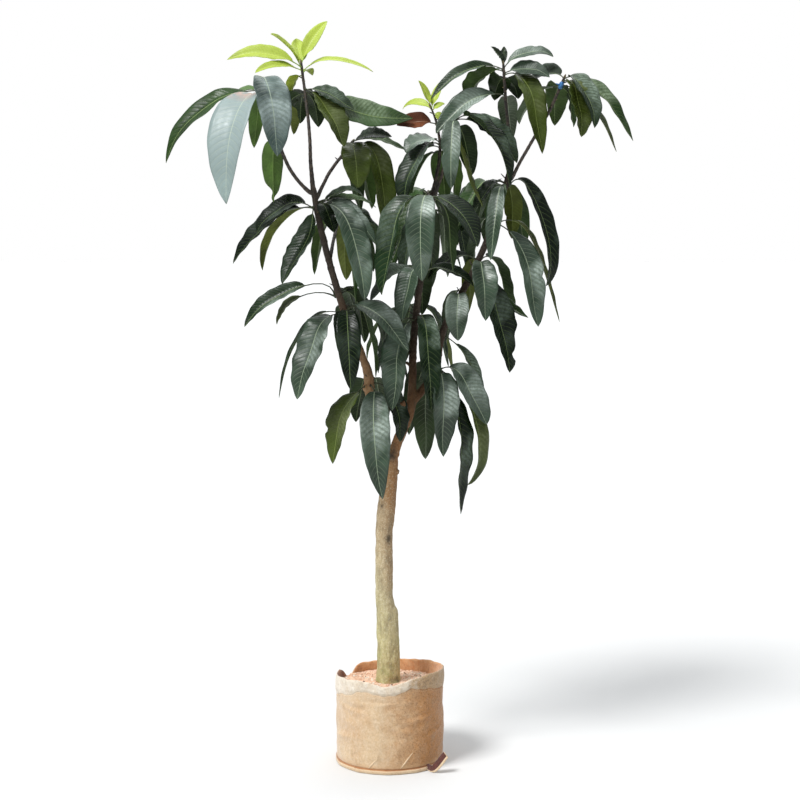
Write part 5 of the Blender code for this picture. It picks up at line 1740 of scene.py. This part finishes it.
def make_soil():
    """The soil's crumbly surface over a closed body, with clods and pebbles scattered on it."""
    rings = [AXIS, *np.linspace(*SOIL_RINGS)]
    profiles = []
    for i in range(SOIL_ROUND):
        angle = math.tau * i / SOIL_ROUND
        top = [(r, soil_height(r * math.cos(angle), r * math.sin(angle)), 0) for r in rings]
        edge = bag_radius(angle) - BAG_WALL - 0.0012
        under = [(AXIS, SOIL_UNDER, 0), (edge - 0.01, SOIL_UNDER, 0), (edge, SOIL_SIDE, 0)]
        profiles.append([*under, *reversed(top)])
    joined = Joined()
    add_turned(joined, profiles)
    finished(joined.make("soil_bed", (soil_finish(),)), "soil", "soil")
    ground = soil_patch()
    for name, number, least, most, colour, seed in CRUMBS:
        stone = lump_shape(name + "_shape", seed)
        material = crumb_finish(name, colour)
        finished(scattered(ground, name, stone, number, least, most, seed, material), "soil")
        bpy.data.objects.remove(stone, do_unlink=True)
    bpy.data.objects.remove(ground, do_unlink=True)


def soil_patch():
    """The open surface that the crumbs lie on, clear of the trunk."""
    rings = np.linspace(*PATCH_RINGS)
    points, faces = [], []
    for i in range(PATCH_ROUND):
        angle = math.tau * i / PATCH_ROUND
        for r in rings:
            x, y = r * math.cos(angle), r * math.sin(angle)
            points.append((x, y, soil_height(x, y)))
    count = len(rings)
    for i in range(PATCH_ROUND):
        here, there = i * count, (i + 1) % PATCH_ROUND * count
        faces += [(here + j, here + j + 1, there + j + 1, there + j) for j in range(count - 1)]
    return put_shape("ground", points, [], faces)


def lump_shape(name, seed):
    shell = bmesh.new()
    bmesh.ops.create_icosphere(shell, subdivisions=1, radius=1.0)
    for vertex in shell.verts:
        vertex.co *= 1 + 0.35 * noise.noise(vertex.co * 1.3 + Vector((seed, 0, 0)))
        vertex.co.z *= 0.62
        vertex.co.x *= 1.15
    mesh = bpy.data.meshes.new(name)
    shell.to_mesh(mesh)
    shell.free()
    smooth_shaded(mesh)
    lump = put(name, mesh)
    lump.hide_render = True
    return lump


def soil_finish():
    soil = Finish("soil", (0.52, 0.28, 0.17), 0.95)
    soil.tone = (0.60, 0.33, 0.20)
    soil.coat((0.90, 0.68, 0.52), soil.patches((170, 6, 0.75), 0.36, 0.66))
    soil.coat((0.42, 0.17, 0.08), soil.patches((34, 4), 0.48, 0.62, 0.0, 0.7))
    # painted light: the soil is paler towards the right
    soil.coat((0.95, 0.78, 0.64), soil.towards_right(*SUNLIT))
    soil.coat((0.10, 0.05, 0.03), soil.span(soil.cells(330), 0.05, 0.18, 0.55, 0.0))
    soil.relief(soil.noise(320, 6, 0.75), 0.9, 0.0020)
    return soil.done()


def crumb_finish(name, base):
    pale = tuple(min(0.9, c * 1.25) for c in base)
    crumb = mottled(name, base, 0.92, (210, 4, 0.7), 0.35, 0.68, tinted(base, 0.62), pale)
    # painted light: the crumbs are paler towards the right
    crumb.coat(pale, crumb.towards_right(*SUNLIT))
    crumb.relief(crumb.noise(900, 4), 0.6, 0.0006)
    return crumb.done()


# ---- Geometry Nodes ----


def new_tree(name, inputs):
    tree = bpy.data.node_groups.new(name, "GeometryNodeTree")
    tree.interface.new_socket("Geometry", in_out="INPUT", socket_type="NodeSocketGeometry")
    for title, kind in inputs:
        tree.interface.new_socket(title, in_out="INPUT", socket_type="NodeSocket" + kind)
    tree.interface.new_socket("Geometry", in_out="OUTPUT", socket_type="NodeSocketGeometry")
    return tree, tree.nodes.new("NodeGroupInput").outputs, tree.nodes.new("NodeGroupOutput").inputs


def join_all(tree, *pairs):
    for source, socket in pairs:
        tree.links.new(source, socket)


def give(modifier, **values):
    """Sets a modifier's inputs, found by name, by their sockets' identifiers."""
    for item in modifier.node_group.interface.items_tree:
        key = item.name.replace(" ", "_").lower()
        if item.item_type == "SOCKET" and item.in_out == "INPUT" and key in values:
            modifier[item.identifier] = values[key]


def place_copies(tree, given, end, points, rotation):
    """Sets copies of the given shape on points, realized and finished; returns the node that sets them."""
    add = tree.nodes.new
    shape, place = add("GeometryNodeObjectInfo"), add("GeometryNodeInstanceOnPoints")
    real, dress = add("GeometryNodeRealizeInstances"), add("GeometryNodeSetMaterial")
    join_all(
        tree, (given["Shape"], shape.inputs["Object"]), (points, place.inputs["Points"]),
        (shape.outputs["Geometry"], place.inputs["Instance"]), (rotation, place.inputs["Rotation"]),
        (place.outputs[0], real.inputs[0]), (real.outputs[0], dress.inputs["Geometry"]),
        (given["Finish"], dress.inputs["Material"]), (dress.outputs[0], end[0]),
    )
    return place


def scatter_tree():
    """Turned and scaled copies of a shape on the faces of a mesh, realized."""
    tree, given, end = new_tree("scatter", (
        ("Shape", "Object"), ("Density", "Float"), ("Least", "Float"), ("Most", "Float"), ("Seed", "Int"),
        ("Finish", "Material"),
    ))
    add = tree.nodes.new
    points = add("GeometryNodeDistributePointsOnFaces")
    size, spin = add("FunctionNodeRandomValue"), add("FunctionNodeRandomValue")
    size.data_type, spin.data_type = "FLOAT", "FLOAT_VECTOR"
    spin.inputs[0].default_value = (-0.5, -0.5, 0.0)
    spin.inputs[1].default_value = (0.5, 0.5, math.tau)
    turn, both = add("FunctionNodeEulerToRotation"), add("FunctionNodeRotateRotation")
    both.rotation_space = "LOCAL"
    place = place_copies(tree, given, end, points.outputs["Points"], both.outputs[0])
    join_all(
        tree, (given["Geometry"], points.inputs["Mesh"]), (given["Density"], points.inputs["Density"]),
        (given["Least"], size.inputs[2]), (given["Most"], size.inputs[3]),
        *((given["Seed"], node.inputs["Seed"]) for node in (points, size, spin)),
        (spin.outputs[0], turn.inputs[0]), (points.outputs["Rotation"], both.inputs[0]),
        (turn.outputs[0], both.inputs[1]), (size.outputs[1], place.inputs["Scale"]),
    )
    return tree


def stitch_tree():
    """Short stitches end to end along a line, realized."""
    tree, given, end = new_tree(
        "stitching", (("Shape", "Object"), ("Pitch", "Float"), ("Finish", "Material")))
    add = tree.nodes.new
    line, even = add("GeometryNodeMeshToCurve"), add("GeometryNodeResampleCurve")
    even.mode = "LENGTH"
    tangent, align = add("GeometryNodeInputTangent"), add("FunctionNodeAlignRotationToVector")
    align.axis = "X"
    place_copies(tree, given, end, even.outputs[0], align.outputs[0])
    join_all(
        tree, (given["Geometry"], line.inputs["Mesh"]), (line.outputs[0], even.inputs["Curve"]),
        (given["Pitch"], even.inputs["Length"]), (tangent.outputs[0], align.inputs["Vector"]),
    )
    return tree


def grown(carrier, name, tree, **inputs):
    """A new piece from what a node tree makes of the carrier, which is taken away."""
    modifier = carrier.modifiers.new(name, "NODES")
    modifier.node_group = tree
    give(modifier, **inputs)
    return put(name, plain_mesh(carrier, name))


def scattered(host, name, shape, density, least, most, seed, material):
    tree = bpy.data.node_groups.get("scatter") or scatter_tree()
    return grown(put(name + "_carrier", host.data), name, tree, shape=shape, density=float(density),
                 least=least, most=most, seed=seed, finish=material)


def make_stitches():
    """The thread along the cuff's lower edge and round the base seam."""
    body = Joined()
    body.add_round([(x, 0, 0, radius) for x, radius in STITCH_OUTLINE], STITCH_SIDES)
    stitch = body.make("stitch_shape", ())
    stitch.hide_render = True
    thread = mottled("thread", (0.62, 0.40, 0.22), 0.7, (600, 3), 0.4, 0.6,
                     (0.50, 0.29, 0.14), (0.74, 0.56, 0.36))
    cuff, base = [], []
    for i in range(STITCH_POINTS):
        angle = math.tau * i / STITCH_POINTS
        radius, height = bag_radius(angle), rim_height(angle) - cuff_drop(angle) - 0.0060
        cuff.append(on_circle(angle, radius - 0.0004 + wall_push(angle, height, radius), height))
        base.append(on_circle(angle, radius + lip_reach(angle), 0.0066))
    edges = [(k + i, k + (i + 1) % STITCH_POINTS) for k in (0, STITCH_POINTS) for i in range(STITCH_POINTS)]
    line = put_shape("stitch_line", cuff + base, edges, [])
    made = grown(line, "stitches", stitch_tree(), shape=stitch, pitch=FELT_PITCH, finish=thread.done())
    bpy.data.objects.remove(stitch, do_unlink=True)
    finished(made, "bag_felt")


# ---- Floor, lights, camera ----

# Lamps: (name, place, power, spread in degrees)
LAMPS = (
    ("key", (-1.1, -1.0, 1.9), 3.0, 20), ("fill", (1.6, -1.6, 0.8), 0.15, 80),
    ("back", (0.5, 1.5, 1.8), 0.7, 50),
)
EYE = (0.0295, -4.60, 1.50)
LOOKING_DOWN = 6.03           # degrees
SENSOR, LENS = 36, 75.6       # millimetres


def make_sky():
    """A pale surround that lights the tree from above more than from the sides."""
    world = bpy.data.worlds.new("soft_sky")
    bpy.context.scene.world = world
    world.use_nodes = True
    tree = world.node_tree
    surround = tree.nodes["Background"]
    surround.inputs["Color"].default_value = (1.0, 1.0, 1.0, 1)
    sky, where, parts, height, ray, choice = (tree.nodes.new("ShaderNode" + kind) for kind in (
        "Background", "TexCoord", "SeparateXYZ", "MapRange", "LightPath", "MixShader"))
    for socket, number in zip(height.inputs[1:5], (-0.05, 1.0, 0.03, 1.05)):
        socket.default_value = number
    sky.inputs["Color"].default_value = (0.94, 0.97, 1.0, 1)
    join_all(
        tree, (where.outputs["Generated"], parts.inputs[0]), (parts.outputs[2], height.inputs[0]),
        (height.outputs[0], sky.inputs["Strength"]), (ray.outputs["Is Camera Ray"], choice.inputs[0]),
        (sky.outputs[0], choice.inputs[1]), (surround.outputs[0], choice.inputs[2]),
        (choice.outputs[0], tree.nodes["World Output"].inputs["Surface"]),
    )


def make_stage():
    floor = put_shape("floor", [(-30, -12, 0), (30, -12, 0), (30, 60, 0), (-30, 60, 0)], [], [(0, 1, 2, 3)])
    floor.data.materials.append(Finish("floor", (0.66, 0.66, 0.655), 1.0, Specular_IOR_Level=0.0).done())
    make_sky()
    for name, place, power, spread in LAMPS:
        light = bpy.data.lights.new(name, "SUN")
        light.energy, light.angle = power, math.radians(spread)
        lamp = put(name, light)
        lamp.location = place
        lamp.rotation_euler = (-Vector(place)).to_track_quat("-Z", "Y").to_euler()
    camera = bpy.data.cameras.new("camera")
    camera.sensor_width, camera.lens = SENSOR, LENS
    eye = put("camera", camera)
    eye.location = EYE
    eye.rotation_euler = (math.radians(90 - LOOKING_DOWN), 0, 0)
    bpy.context.scene.camera = eye
    bpy.context.scene.view_settings.view_transform = "Standard"


trunk = Limb(TRUNK_KNOTS, TRUNK_SIDES, UP, trunk_shape)
boughs = {name: Limb(knots, LIMB_SIDES) for name, knots in BOUGH_KNOTS.items()}
twigs, leaves = plan_foliage(trunk, boughs)
make_leaves(leaves, boughs, twigs)
make_twigs(boughs, twigs)
make_tie(twigs["outer_shoot"])
make_bark(boughs)
make_bag()
make_stitches()
make_soil()
make_stage()
